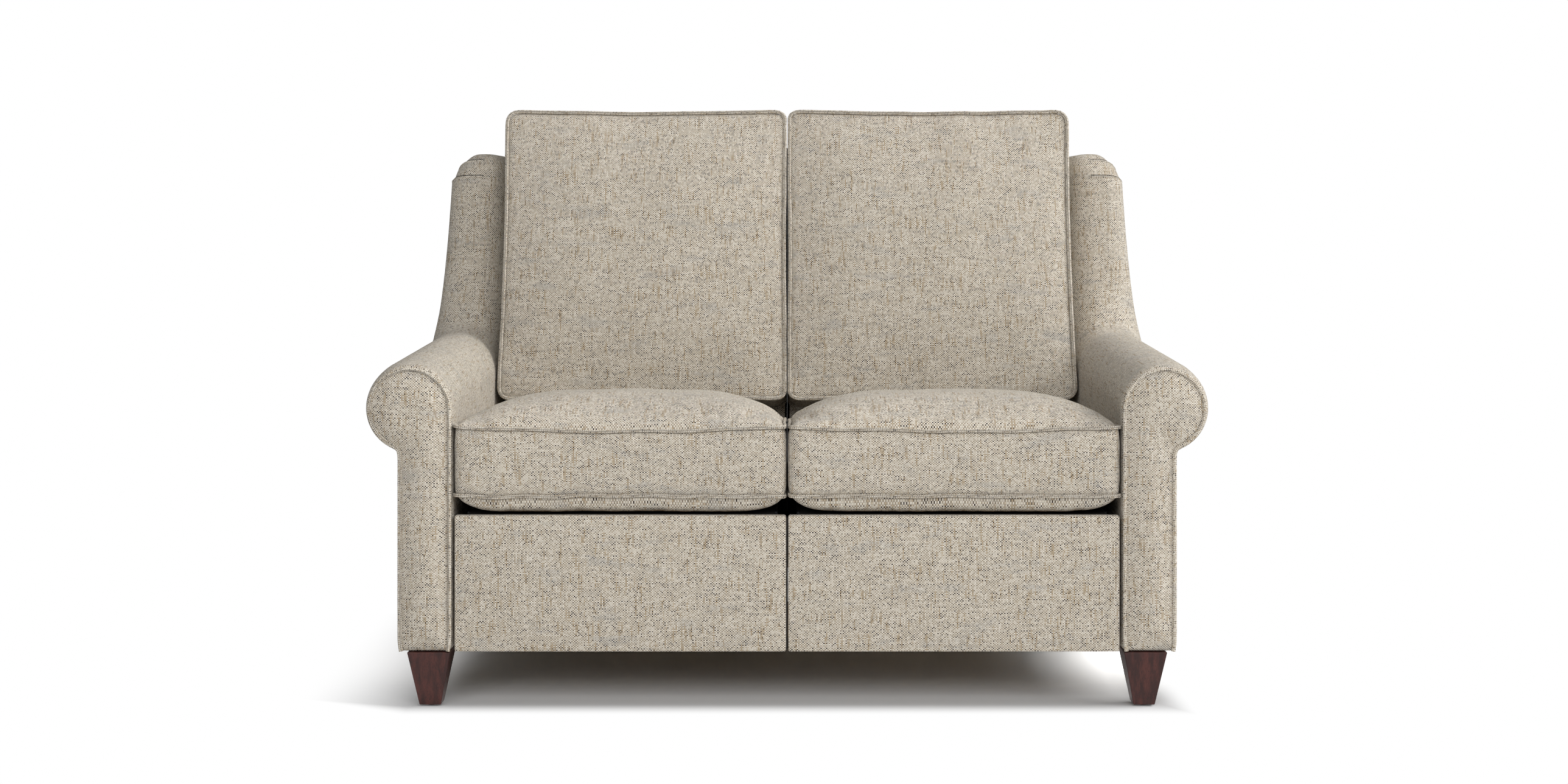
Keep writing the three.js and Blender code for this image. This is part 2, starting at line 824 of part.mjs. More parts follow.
for (const side of ['left', 'right']) {
  const inward = plateInner + plateThickness;
  const outward = plateOuter - plateThickness;
  const linkStep = linkThickness + linkGap;
  const armLinkX = { inner: inward + linkGap, outer: outward - linkStep };
  const panelLinkX = { inner: armLinkX.inner + linkStep, outer: armLinkX.outer - linkStep };
  const earX = { inner: panelLinkX.inner + linkStep, outer: panelLinkX.outer - linkGap - earThickness };
  const ears = [
    { x: earX.inner, edge: 'outer', face: earX.inner, reach: linkStep },
    { x: earX.outer, edge: 'inner', face: earX.outer + earThickness, reach: linkStep },
  ];
  const plateX = { inner: plateInner, outer: outward };
  const trackX = { inner: seatInner, outer: seatOuter - trackWidth };
  const place = (name, geometry, finish) => addPiece(settee, `${name}_${side}`, handed(geometry, side), finish);

  for (const edge of ['inner', 'outer']) {
    const track = block(
      trackX[edge],
      trackX[edge] + trackWidth,
      stretcherRear + fitGap,
      rearRailFront - fitGap,
      trackTop - trackHeight,
      trackTop,
    );
    place(`track_${edge}`, track, 'steel');
    const far = edge === 'inner' ? 1 : 0;
    const plateFace = plateX[edge] + far * plateThickness;
    const plate = join(
      drawnAcross(sidePlateOutline(), plateX[edge], plateX[edge] + plateThickness),
      pivot(edge, plateFace, backBoardThickness, hinge, 0),
      pivot(edge, plateFace, linkStep, footPivot, 0),
    );
    place(`side_plate_${edge}`, plate, 'steel');
    const armLinkFace = armLinkX[edge] + far * linkThickness;
    const armBar = linkOutline(knee, footPivot, armLinkWidth);
    const armLink = join(
      cut(
        drawnAcross(armBar, armLinkX[edge], armLinkX[edge] + linkThickness),
        pivot(edge, plateFace, linkStep + cutOverrun, footPivot, pivotClearance),
      ),
      pivot(edge, armLinkFace, linkStep, knee, 0),
    );
    place(`footrest_arm_${edge}`, armLink, 'steel');
    const panelBar = linkOutline(knee, anchor, panelLinkWidth);
    const panelLink = cut(
      drawnAcross(panelBar, panelLinkX[edge], panelLinkX[edge] + linkThickness),
      pivot(edge, armLinkFace, linkStep + cutOverrun, knee, pivotClearance),
      pivot(edge, armLinkFace, linkStep + cutOverrun, anchor, pivotClearance),
    );
    place(`footrest_link_${edge}`, panelLink, 'steel');
  }

  place('seat_frame', seatFrame(inward + fitGap, outward - fitGap), 'frameWood');
  for (let spring = 0; spring < springsPerSeat; spring += 1) {
    const share = (spring + 1) / (springsPerSeat + 1);
    const centreX = inward + (outward - inward) * share;
    place(`seat_spring_${spring + 1}`, zigzagSpring(centreX), 'springSteel');
  }
  place('seat_cushion', seatCushion(), 'fabric');

  place('back_frame', backFrame(inward + fitGap, outward - fitGap), 'frameWood');
  place('outside_back', outsideBack(), 'fabric');
  const raked = new THREE.Group();
  raked.position.set(0, hingeDepth, hingeHeight);
  raked.rotation.x = Math.PI / 2 - backRake;
  settee.add(raked);
  const cushionAcross = seatInner + backCushionWidth / 2;
  const cushionUp = backCushionStart + backCushionHeight / 2;
  const cushionOut = backFaceSetback - backBoxing / 2;
  const cushion = backCushion().translate(cushionAcross, cushionUp, cushionOut);
  addPiece(raked, `back_cushion_${side}`, handed(cushion, side), 'fabric');

  const spreader = crossRod(
    spreaderRadius,
    armLinkX.inner + linkThickness + fitGap,
    armLinkX.outer - fitGap,
    footPivotDepth,
    footPivotHeight - spreaderDrop,
  );
  place('footrest_spreader', spreader, 'steel');
  place('footrest_board', footrestBoard(ears), 'frameWood');
  place('footrest_pad', footrestPad(), 'fabric');
}

export default settee;
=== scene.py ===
# %% [markdown]
# A high back settee for two, dressed for the camera.
#
# The real object is a wooden and steel frame with two seats that slide and
# recline, covered in an oatmeal tweed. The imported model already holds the
# frame, its moving bodies and every size, so this lesson loads it first and
# never moves it. What follows replaces each plain soft solid with a padded,
# seamed and woven piece in the same place.

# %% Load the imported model
import math

import bpy
import numpy as np
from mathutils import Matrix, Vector
from mathutils.bvhtree import BVHTree


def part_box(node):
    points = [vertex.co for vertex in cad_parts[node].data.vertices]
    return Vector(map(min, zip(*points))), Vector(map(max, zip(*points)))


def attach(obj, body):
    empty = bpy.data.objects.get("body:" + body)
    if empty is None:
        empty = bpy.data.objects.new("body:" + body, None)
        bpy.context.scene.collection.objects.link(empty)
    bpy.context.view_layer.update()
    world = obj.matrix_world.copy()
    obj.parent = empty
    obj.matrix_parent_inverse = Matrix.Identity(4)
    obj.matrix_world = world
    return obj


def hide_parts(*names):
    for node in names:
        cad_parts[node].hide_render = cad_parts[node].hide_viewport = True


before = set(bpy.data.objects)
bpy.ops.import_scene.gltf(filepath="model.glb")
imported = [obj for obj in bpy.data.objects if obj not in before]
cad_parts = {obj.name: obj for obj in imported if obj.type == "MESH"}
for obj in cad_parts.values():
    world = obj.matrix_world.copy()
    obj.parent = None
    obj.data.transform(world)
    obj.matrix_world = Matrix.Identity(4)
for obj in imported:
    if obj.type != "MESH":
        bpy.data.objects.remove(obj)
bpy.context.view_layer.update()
sides = ("left", "right")
hand = {"left": -1.0, "right": 1.0}

# %% [markdown]
# Every soft piece is placed by the solids that it stands for. The row's own
# boxes give most places. A few sizes can't be read from a box, such as the
# radius of the arm's roll, so they are written here once, in metres.

# %% Places taken from the solids
front_low, front_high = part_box("arm_front_panel_right")
seat_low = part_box("seat_cushion_right")[0]
front_plane, bay_side, body_bottom = front_low.y, front_low.x, front_low.z
roll_radius = 0.075
roll_height = front_high.z - roll_radius
post_width = 0.096
arm_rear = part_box("arm_pad_right")[1].y
hinge = Vector((0.0, front_plane + 0.660, 0.330))
back_rake = math.radians(13.8)
back_slope = 0.065 / 0.690
print("front plane", round(front_plane, 4), "arm inner side", round(bay_side, 4))

# %% [markdown]
# A piece of upholstery needs two things from its mesh: the shape, and a map
# that says how the cloth lies on it. The map is measured in metres, so that
# one weave can be drawn at its true thread size on every piece. Each piece
# gets its own starting place on the cloth, because no two are cut from the
# same spot. Shapes are worked out for the right and mirrored for the left.

# %% Helpers that turn numbers into meshes
cut_places = iter([(round(3.1 * k, 2), round(1.7 * ((k * 7) % 11), 2)) for k in range(1, 200)])


def linked(name, mesh):
    piece = bpy.data.objects.new(name, mesh)
    bpy.context.scene.collection.objects.link(piece)
    return piece


def shaped(name, points, faces, cloth=None, smooth=True):
    """A new piece from its points and faces, with the cloth's map where it has one."""
    mesh = bpy.data.meshes.new(name)
    mesh.from_pydata([tuple(p) for p in points], [], [tuple(f) for f in faces])
    if cloth is not None:
        layer = mesh.uv_layers.new(name="cloth")
        placed = np.asarray(cloth, dtype=np.float32).reshape(-1, 2) + np.float32(next(cut_places))
        layer.data.foreach_set("uv", placed.ravel())
    mesh.polygons.foreach_set("use_smooth", [smooth] * len(mesh.polygons))
    mesh.update()
    return linked(name, mesh)


def settled(piece):
    """The piece with its modifiers made real: a plain mesh and none left."""
    graph = bpy.context.evaluated_depsgraph_get()
    mesh = bpy.data.meshes.new_from_object(piece.evaluated_get(graph), depsgraph=graph)
    piece.modifiers.clear()
    piece.data = mesh
    mesh.name = piece.name
    return piece


def points_of(mesh):
    """The places of a mesh's points as rows of x, y, z."""
    flat = np.empty(len(mesh.vertices) * 3)
    mesh.vertices.foreach_get("co", flat)
    return flat.reshape(-1, 3)


def put_points(piece, points):
    piece.data.vertices.foreach_set("co", np.asarray(points, dtype=np.float32).ravel())
    piece.data.update()


def on_side(side, rows, faces=None, cloth=None):
    """What is shaped for the right, as it is or mirrored for the left with faces and cloth turned over."""
    if side == "left":
        rows = np.asarray(rows) * (-1.0, 1.0, 1.0)
        if faces is not None:
            faces, cloth = faces[:, ::-1], cloth[:, ::-1]
    return rows if faces is None else (rows, faces, cloth)


def dressed(piece, finish, body, *nodes, fill=None, slot="upholstery_fabric"):
    """A piece with its finish, the solids that it stands for, and its body; slot and fill are not used."""
    if finish:
        piece.data.materials.append(finish)
    if nodes:
        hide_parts(*nodes)
    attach(piece, body)
    print(piece.name, len(piece.data.polygons), "faces")
    return piece


print("helpers ready")

# %% [markdown]
# The cover is an oatmeal tweed in plain weave. Warp and weft threads about
# two millimetres wide cross over and under. The warp is cream, with a golden
# slub on it here and there. The weft is spun from beige, tan and dark brown,
# so its floats show as dots that come and go along each row. It could be
# painted as noise, but from near that looks like stone. Here the threads are
# counted: each crossing knows its own row and column, so the dots and slubs
# keep to the threads as they do in the cloth.

# %% Small tools for building node trees
def feed(tree, socket, value):
    """Links a node or one of its outputs to a socket, or sets a plain value on it."""
    if isinstance(value, bpy.types.Node):
        value = value.outputs[0]
    if isinstance(value, bpy.types.NodeSocket):
        tree.links.new(value, socket)
    else:
        socket.default_value = value


def add_node(tree, kind, feeds=None, **settings):
    node = tree.nodes.new(kind)
    for key, value in settings.items():
        setattr(node, key, value)
    for key, value in (feeds or {}).items():
        feed(tree, node.inputs[key], value)
    return node


def sums(tree, operation, *values, clamp=False):
    """One Math node."""
    return add_node(tree, "ShaderNodeMath", dict(enumerate(values)), operation=operation, use_clamp=clamp)


def joined(tree, x, y, z=0.0):
    return add_node(tree, "ShaderNodeCombineXYZ", {0: x, 1: y, 2: z})


def blended(tree, amount, first, second):
    """One colour Mix node: its colour."""
    return add_node(tree, "ShaderNodeMix", {0: amount, 6: first, 7: second}, data_type="RGBA").outputs[2]


def spread(tree, value, low, high, least=0.0, most=1.0, way="LINEAR"):
    feeds = {0: value, 1: low, 2: high, 3: least, 4: most}
    return add_node(tree, "ShaderNodeMapRange", feeds, interpolation_type=way)


def step_up(tree, value, low, high):
    """0 below low, 1 above high, and smooth between."""
    return spread(tree, value, low, high, way="SMOOTHSTEP")


def noise(tree, place, scale, detail=2.0, roughness=0.5):
    feeds = {"Vector": place, "Scale": scale, "Detail": detail, "Roughness": roughness}
    return add_node(tree, "ShaderNodeTexNoise", feeds)


def new_tree(name, ins, outs, kind="ShaderNodeTree"):
    """A tree with named sockets, and its ends. An input is given by its value, or by the name of its kind."""
    tree = bpy.data.node_groups.new(name, kind)
    kinds = {float: "Float", int: "Int", tuple: "Color"}
    for label, value in ins.items():
        plain = isinstance(value, str)
        form = "NodeSocket" + (value if plain else kinds[type(value)])
        socket = tree.interface.new_socket(label, in_out="INPUT", socket_type=form)
        if not plain:
            socket.default_value = value
    for label, form in outs.items():
        tree.interface.new_socket(label, in_out="OUTPUT", socket_type="NodeSocket" + form)
    return tree, add_node(tree, "NodeGroupInput").outputs, add_node(tree, "NodeGroupOutput").inputs


def written(red, green, blue):
    """An sRGB colour of 0 to 255 as the linear colour that nodes use."""
    linear = [((c / 255 + 0.055) / 1.055) ** 2.4 if c > 10 else c / 255 / 12.92 for c in (red, green, blue)]
    return (*linear, 1.0)


print("tools for node trees ready")

# %% The tweed, thread by thread
tweed, given, result = new_tree(
    "Tweed weave",
    {
        "Cloth": "Vector",
        "Thread": 0.00245,
        "Warp": written(217, 209, 195),
        "Warp light": written(228, 221, 209),
        "Slub": written(185, 166, 138),
        "Weft pale": written(200, 191, 176),
        "Weft tan": written(160, 147, 127),
        "Weft dark": written(64, 53, 45),
        "Grey": written(158, 158, 156),
    },
    {"Color": "Color", "Height": "Float"},
)
axes = add_node(tweed, "ShaderNodeSeparateXYZ", {0: given["Cloth"]}).outputs
weave_across = sums(tweed, "DIVIDE", axes[0], given["Thread"])
weave_along = sums(tweed, "DIVIDE", axes[1], sums(tweed, "MULTIPLY", given["Thread"], 0.906))
column, row = (sums(tweed, "FLOOR", way) for way in (weave_across, weave_along))
warp_on_top = sums(tweed, "PINGPONG", sums(tweed, "ADD", column, row), 1.0)


def round_thread(way):
    """The height across a thread's width, which is round."""
    return sums(tweed, "SINE", sums(tweed, "MULTIPLY", sums(tweed, "FRACT", way), math.pi))


def float_height(across, along):
    """A thread's height, which dives under at the ends of its float."""
    dive = sums(tweed, "MULTIPLY_ADD", along, 0.5, 0.5)
    return sums(tweed, "MULTIPLY", sums(tweed, "POWER", across, 0.6), dive)


round_across, round_along = round_thread(weave_across), round_thread(weave_along)
heights = {2: float_height(round_along, round_across), 3: float_height(round_across, round_along)}
thread_height = add_node(tweed, "ShaderNodeMix", {0: warp_on_top, **heights}, data_type="FLOAT")
print("tweed nodes so far:", len(tweed.nodes))

# %% Colours of the threads
# A warp thread keeps its colour for some rows, and a weft thread for some columns
warp_place = joined(tweed, sums(tweed, "MULTIPLY", column, 7.31), sums(tweed, "MULTIPLY", weave_along, 0.055))
weft_place = joined(tweed, sums(tweed, "MULTIPLY", weave_across, 0.06), sums(tweed, "MULTIPLY", row, 5.77), 31.0)
warp_mood = noise(tweed, warp_place, 1.0, detail=1.0)
weft_mood = noise(tweed, weft_place, 1.0, roughness=0.6)
crossing = {"Vector": joined(tweed, column, row)}
chance = add_node(tweed, "ShaderNodeTexWhiteNoise", crossing, noise_dimensions="2D")
cluster = noise(tweed, given["Cloth"], 42.0)
patch_place = {0: given["Cloth"], 1: (11.0, 30.0, 1.0)}
patch_place = add_node(tweed, "ShaderNodeVectorMath", patch_place, operation="MULTIPLY")
patch = noise(tweed, patch_place, 1.0, detail=3.0, roughness=0.6)

warp_colour = blended(tweed, step_up(tweed, warp_mood, 0.58, 0.68), given["Warp"], given["Slub"])
warp_colour = blended(tweed, step_up(tweed, warp_mood, 0.43, 0.35), warp_colour, given["Warp light"])

# A weft float is pale, tan or dark by its thread's mood, the cluster that it lies in, and chance
weft_level = sums(tweed, "MULTIPLY_ADD", chance, 0.46, sums(tweed, "MULTIPLY", weft_mood, 0.70))
weft_level = sums(tweed, "SUBTRACT", sums(tweed, "MULTIPLY_ADD", cluster, 0.15, weft_level), 0.155)
weft_colour = blended(tweed, step_up(tweed, weft_level, 0.30, 0.46), given["Weft pale"], given["Weft tan"])
weft_colour = blended(tweed, step_up(tweed, weft_level, 0.57, 0.75), weft_colour, given["Weft dark"])
thread_colour = blended(tweed, warp_on_top, weft_colour, warp_colour)
greyness = sums(tweed, "MULTIPLY", step_up(tweed, patch, 0.54, 0.70), 0.3)
thread_colour = blended(tweed, greyness, thread_colour, given["Grey"])

# Fine fibres along each thread, and the shade that sits between threads
fibres = noise(tweed, given["Cloth"], 1900.0, detail=1.0)
between = sums(tweed, "MULTIPLY_ADD", thread_height, 0.42, 0.62)
shade = sums(tweed, "MULTIPLY", between, sums(tweed, "MULTIPLY_ADD", fibres, 0.24, 0.88))
shaded = add_node(tweed, "ShaderNodeVectorMath", {0: thread_colour, "Scale": shade}, operation="SCALE")
feed(tweed, result["Color"], shaded)
feed(tweed, result["Height"], sums(tweed, "MULTIPLY_ADD", fibres, 0.18, thread_height))
print("Tweed weave:", len(tweed.nodes), "nodes")

# %% [markdown]
# A finish is a group's colours and heights on a Principled shader. What is
# the same all over, such as the sheen of wool or a lacquer's coat, is set on
# the shader's own sockets. One short function builds each material from its
# group, so the finishes below read as lists of their own values.

# %% Build a material from a group
def finish_of(name, group, values, bump, surface=None, place="object", turn=(0.0, 0.0, 0.0)):
    """A material whose group reads the cloth's map, or Object coordinates, through a Mapping node."""
    material = bpy.data.materials.new(name)
    material.use_nodes = True
    tree = material.node_tree
    shader = tree.nodes["Principled BSDF"].inputs
    for socket, value in (surface or {}).items():
        shader[socket].default_value = value
    if place == "cloth":
        source = add_node(tree, "ShaderNodeUVMap", uv_map="cloth")
    else:
        source = add_node(tree, "ShaderNodeTexCoord").outputs["Object"]
    turned = {"Vector": source, "Rotation": [math.radians(a) for a in turn]}
    mapping = add_node(tree, "ShaderNodeMapping", turned)
    node = add_node(tree, "ShaderNodeGroup", node_tree=group)
    for key, value in {0: mapping, **values}.items():
        feed(tree, node.inputs[key], value)
    for channel, socket in (("Color", "Base Color"), ("Roughness", "Roughness")):
        if channel in node.outputs:
            feed(tree, shader[socket], node.outputs[channel])
    relief = {"Distance": bump, "Height": node.outputs["Height"]}
    feed(tree, shader["Normal"], add_node(tree, "ShaderNodeBump", relief))
    return material


wool = {"Roughness": 0.95, "Sheen Weight": 0.12, "Sheen Roughness": 0.6, "Specular IOR Level": 0.25}
oatmeal = finish_of("Oatmeal tweed", tweed, {}, 0.0007, wool, "cloth")
oatmeal_bias = finish_of("Oatmeal tweed on the bias", tweed, {}, 0.0006, wool, "cloth", turn=(0, 0, 45))
dark_threads = {
    "Thread": 0.0008,
    "Warp": written(40, 38, 36),
    "Warp light": written(50, 48, 46),
    "Slub": written(38, 35, 32),
    "Weft pale": written(36, 34, 33),
    "Weft tan": written(32, 30, 29),
    "Weft dark": written(23, 22, 21),
    "Grey": written(42, 41, 41),
}
dull = {"Roughness": 0.95, "Specular IOR Level": 0.2}
# This dark cloth serves only as painted shade: the cords in the pleat gaps and the strips in the slots
lining = finish_of("Dark lining", tweed, dark_threads, 0.0002, dull, "cloth")
lined_wood = finish_of("Dark lining on the frame", tweed, dark_threads, 0.0002, dull, turn=(-90, 0, 0))
print("cloth finishes:", oatmeal.name, "/", oatmeal_bias.name, "/", lining.name)

# %% [markdown]
# The legs are solid hardwood with a dark red-brown stain. The grain runs up
# the leg, so its rings are noise that is stretched along Z, with short dark
# pores in it. The inner frame uses the same group in pale, unstained colours.

# %% Wood grain
surface_outs = {"Color": "Color", "Roughness": "Float", "Height": "Float"}


def roughened(tree, value, given):
    """Roughness that follows a pattern, between the group's two values."""
    return spread(tree, value, 0.3, 0.7, given["Roughness low"], given["Roughness high"])


def stretched(tree, place, scale):
    return add_node(tree, "ShaderNodeMapping", {"Vector": place, "Scale": scale})


grain, given, result = new_tree(
    "Wood grain",
    {
        "Place": "Vector",
        "Early wood": written(74, 37, 31),
        "Late wood": written(45, 21, 18),
        "Pore": written(26, 12, 12),
        "Roughness low": 0.32,
        "Roughness high": 0.5,
    },
    surface_outs,
)
along_grain = stretched(grain, given["Place"], (1.0, 1.0, 0.07))
figure = noise(grain, along_grain, 95.0, detail=4.0, roughness=0.62)
fine_lines = noise(grain, along_grain, 620.0)
pores = step_up(grain, noise(grain, along_grain, 1500.0, detail=0.0), 0.66, 0.74)
late = given["Late wood"]
wood_colour = blended(grain, step_up(grain, figure, 0.36, 0.66), late, given["Early wood"])
lines = sums(grain, "MULTIPLY", step_up(grain, fine_lines, 0.45, 0.7), 0.35)
wood_colour = blended(grain, lines, wood_colour, late)
wood_colour = blended(grain, sums(grain, "MULTIPLY", pores, 0.7), wood_colour, given["Pore"])
feed(grain, result["Color"], wood_colour)
feed(grain, result["Roughness"], roughened(grain, fine_lines, given))
feed(grain, result["Height"], sums(grain, "SUBTRACT", fine_lines, pores))

pale_wood = {
    "Early wood": written(214, 184, 138),
    "Late wood": written(182, 146, 98),
    "Pore": written(140, 106, 66),
    "Roughness low": 0.6,
    "Roughness high": 0.8,
}
lacquer = {"Coat Weight": 0.12, "Coat Roughness": 0.3, "Specular IOR Level": 0.3}
stained_leg = finish_of("Stained hardwood leg", grain, {}, 0.00012, lacquer)
rail_wood = finish_of("Frame hardwood, grain across", grain, pale_wood, 0.0002, turn=(0, 90, 0))
board_wood = finish_of("Frame hardwood, grain upright", grain, pale_wood, 0.0002)
print("Wood grain:", len(grain.nodes), "nodes")

# %% [markdown]
# The mechanism is stamped steel, blackened at the mill, and the springs are
# bright drawn wire. Both show fine scratches and a little uneven oxide. The
# glides are moulded black plastic with a faint pebbled skin. All three come
# from one group of scratches and mottling.

# %% Worn metal and plastic
def mill_values(surface, mottle, low, high):
    colours = {"Surface": written(*surface), "Mottle": written(*mottle)}
    return {**colours, "Roughness low": low, "Roughness high": high}


steel = mill_values((58, 60, 63), (40, 41, 43), 0.34, 0.55)
wear, given, result = new_tree("Mill surface", {"Place": "Vector", **steel}, surface_outs)
scratches = noise(wear, stretched(wear, given["Place"], (1.0, 0.06, 1.0)), 900.0)
mottling = noise(wear, given["Place"], 60.0, detail=4.0, roughness=0.6)
mottled = step_up(wear, mottling, 0.4, 0.68)
feed(wear, result["Color"], blended(wear, mottled, given["Surface"], given["Mottle"]))
feed(wear, result["Roughness"], roughened(wear, scratches, given))
feed(wear, result["Height"], scratches)

wire_values = mill_values((176, 178, 180), (140, 142, 145), 0.25, 0.42)
plastic_values = mill_values((26, 26, 27), (20, 20, 21), 0.5, 0.65)
dark_steel = finish_of("Blackened steel", wear, {}, 0.00005, {"Metallic": 0.9})
bright_wire = finish_of("Drawn spring wire", wear, wire_values, 0.00003, {"Metallic": 1.0})
black_plastic = finish_of("Moulded black plastic", wear, plastic_values, 0.00006)
print("Mill surface:", len(wear.nodes), "nodes")

# %% [markdown]
# A welt is a cord wrapped in a strip of the same cloth and sewn into a seam.
# It follows the seam all the way round, and it is never quite straight. It
# could be a bevelled curve, but the weave has to run along it as well, so a
# Geometry Nodes tree sweeps a small circle along the seam, sways it a little
# with seeded noise, and writes the cloth's map from the length along the cord
# and the way round it. The same tree also makes the spring wire.

# %% A tree that runs a round cord along a path
def growing_tree(name, values):
    ins = {"Geometry": "Geometry", **values, "Finish": "Material"}
    return new_tree(name, ins, {"Geometry": "Geometry"}, kind="GeometryNodeTree")


def end_tree(tree, geometry, given, result):
    """Every tree ends with its instances made real and its finish set."""
    real = add_node(tree, "GeometryNodeRealizeInstances", {0: geometry})
    feed(tree, result[0], add_node(tree, "GeometryNodeSetMaterial", {0: real, "Material": given["Finish"]}))
    print(tree.name + ":", len(tree.nodes), "nodes")


def keep_length(tree, curve, label):
    """The curve, and the length so far at each of its points."""
    node = add_node(tree, "GeometryNodeCaptureAttribute")
    node.capture_items.new("FLOAT", label)
    feed(tree, node.inputs[0], curve)
    feed(tree, node.inputs[1], add_node(tree, "GeometryNodeSplineParameter").outputs["Length"])
    return node.outputs


cord_values = {"Radius": 0.0033, "Step": 0.004, "Sway": 0.0006, "Sides": 10, "Seed": 1}
cord_tree, given, result = growing_tree("Cord along a seam", cord_values)
path = add_node(cord_tree, "GeometryNodeMeshToCurve", {0: given["Geometry"]})
path = add_node(cord_tree, "GeometryNodeResampleCurve", {"Curve": path, "Length": given["Step"]}, mode="LENGTH")
where = add_node(cord_tree, "GeometryNodeInputPosition")
sway = {"Vector": where, "W": given["Seed"], "Scale": 22.0, "Detail": 1.0}
sway = add_node(cord_tree, "ShaderNodeTexNoise", sway, noise_dimensions="4D").outputs[1]
sway = add_node(cord_tree, "ShaderNodeVectorMath", {0: sway, 1: (0.5, 0.5, 0.5)}, operation="SUBTRACT")
sway = add_node(cord_tree, "ShaderNodeVectorMath", {0: sway, "Scale": given["Sway"]}, operation="SCALE")
path = add_node(cord_tree, "GeometryNodeSetPosition", {"Geometry": path, "Offset": sway})
path, along = keep_length(cord_tree, path, "Along")[:2]
ring = {"Radius": given["Radius"], "Resolution": given["Sides"]}
ring = add_node(cord_tree, "GeometryNodeCurvePrimitiveCircle", ring)
ring, way_round = keep_length(cord_tree, ring, "Round")[:2]
cord = add_node(cord_tree, "GeometryNodeCurveToMesh", {"Curve": path, "Profile Curve": ring, "Fill Caps": True})
store = add_node(cord_tree, "GeometryNodeStoreNamedAttribute", data_type="FLOAT2", domain="CORNER")
for key, value in {"Name": "cloth", "Geometry": cord, "Value": joined(cord_tree, along, way_round)}.items():
    feed(cord_tree, store.inputs[key], value)
end_tree(cord_tree, add_node(cord_tree, "GeometryNodeSetShadeSmooth", {0: store}), given, result)


# %% Run a tree on a path and keep the plain mesh
def grown(name, tree, points, edges, **values):
    """The tree's result on a path of points and edges, as a plain mesh object."""
    mesh = bpy.data.meshes.new(name)
    mesh.from_pydata([tuple(p) for p in points], edges, [])
    piece = linked(name, mesh)
    modifier = piece.modifiers.new(tree.name, "NODES")
    modifier.node_group = tree
    named = {item.name: item.identifier for item in tree.interface.items_tree if item.in_out == "INPUT"}
    for label, value in values.items():
        modifier[named[label.capitalize()]] = value
    return settled(piece)


def cords(name, rows, closed=False, **values):
    """One mesh of round cords, each along its own row of points."""
    points, edges = [], []
    for row in rows:
        first, count = len(points), len(row)
        edges += [(first + k, first + (k + 1) % count) for k in range(count if closed else count - 1)]
        points += [tuple(p) for p in row]
    return grown(name, cord_tree, points, edges, **values)


def welt(name, body, rows, closed=False, radius=0.0033, sway=0.0006, seed=1, finish=oatmeal_bias):
    return dressed(cords(name, rows, closed, radius=radius, sway=sway, seed=seed, finish=finish), None, body)


print("welts ready")

# %% [markdown]
# The arm and the wing are one skin of cloth over foam. The cloth sweeps from
# the top of the arm up into the front of the wing with no edge between them.
# Two lofts joined by a boolean would keep a hard crease there. Instead the
# arm and the wing are written as distance fields on a grid: a field is
# negative inside the form and positive outside. Two fields can be blended
# softly where they meet, and the skin is laid where the sum crosses zero.
# This way of laying it is known as surface nets: one point in each grid cell
# that the skin crosses, and one four-sided face at each crossed grid edge.

# %% Soft forms from distance fields
def rounded_meet(first, second, radius):
    """The part inside both fields, with a round edge where they meet."""
    corner = np.hypot(np.maximum(first + radius, 0), np.maximum(second + radius, 0))
    return np.minimum(np.maximum(first, second), -radius) + corner


def soft_join(first, second, reach):
    """Both fields as one, filled in softly within reach of where they meet."""
    mix = np.clip(0.5 + 0.5 * (second - first) / reach, 0, 1)
    return second + (first - second) * mix - reach * mix * (1 - mix)


def field_grid(low, high, step):
    counts = [int(math.ceil((b - a) / step)) + 1 for a, b in zip(low, high)]
    return np.meshgrid(*[a + step * np.arange(n) for a, n in zip(low, counts)], indexing="ij")


def skin(field, low, step):
    """Points and four-sided faces where the field crosses zero, facing outwards."""
    shape = tuple(n - 1 for n in field.shape)
    total, count = np.zeros(shape + (3,)), np.zeros(shape)
    index = np.stack(np.indices(field.shape), -1).astype(float)
    crossings = []
    for axis in range(3):
        near, far = (np.take(field, range(k, field.shape[axis] - 1 + k), axis) for k in (0, 1))
        crossed = (near < 0) != (far < 0)
        place = np.take(index, range(field.shape[axis] - 1), axis).copy()
        place[..., axis] += np.where(crossed, near / np.where(crossed, near - far, 1.0), 0.0)
        across, up = (axis + 1) % 3, (axis + 2) % 3
        for a, b in ((0, 0), (0, 1), (1, 0), (1, 1)):
            pick = [slice(None)] * 3
            pick[across], pick[up] = slice(a, a + shape[across]), slice(b, b + shape[up])
            chosen = crossed[tuple(pick)]
            total += place[tuple(pick)] * chosen[..., None]
            count += chosen
        crossings.append((across, up, crossed, near < 0))
    number = np.full(shape, -1)
    number[count > 0] = np.arange(int((count > 0).sum()))
    points = np.asarray(low) + step * total[count > 0] / count[count > 0][:, None]
    faces = []
    for across, up, crossed, inside_near in crossings:
        spots = np.argwhere(crossed)
        spots = spots[(spots[:, across] > 0) & (spots[:, up] > 0)]
        spots = spots[(spots[:, across] < shape[across]) & (spots[:, up] < shape[up])]
        corners = []
        for a, b in ((1, 1), (0, 1), (0, 0), (1, 0)):
            cell = spots.copy()
            cell[:, across] -= a
            cell[:, up] -= b
            corners.append(number[tuple(cell.T)])
        quads = np.stack(corners, 1)
        inward = ~inside_near[tuple(spots.T)]
        quads[inward] = quads[inward][:, ::-1]
        faces.append(quads)
    return points, np.concatenate(faces)


def corner_map(points, faces, chart):
    """The cloth's map for every corner of every face. chart says where a point lies on the cloth."""
    span = points[faces]
    facing = np.cross(span[:, 2] - span[:, 0], span[:, 3] - span[:, 1])
    facing /= np.maximum(np.linalg.norm(facing, axis=1, keepdims=True), 1e-12)
    return chart(span, facing[:, None, :])


print("distance fields ready")

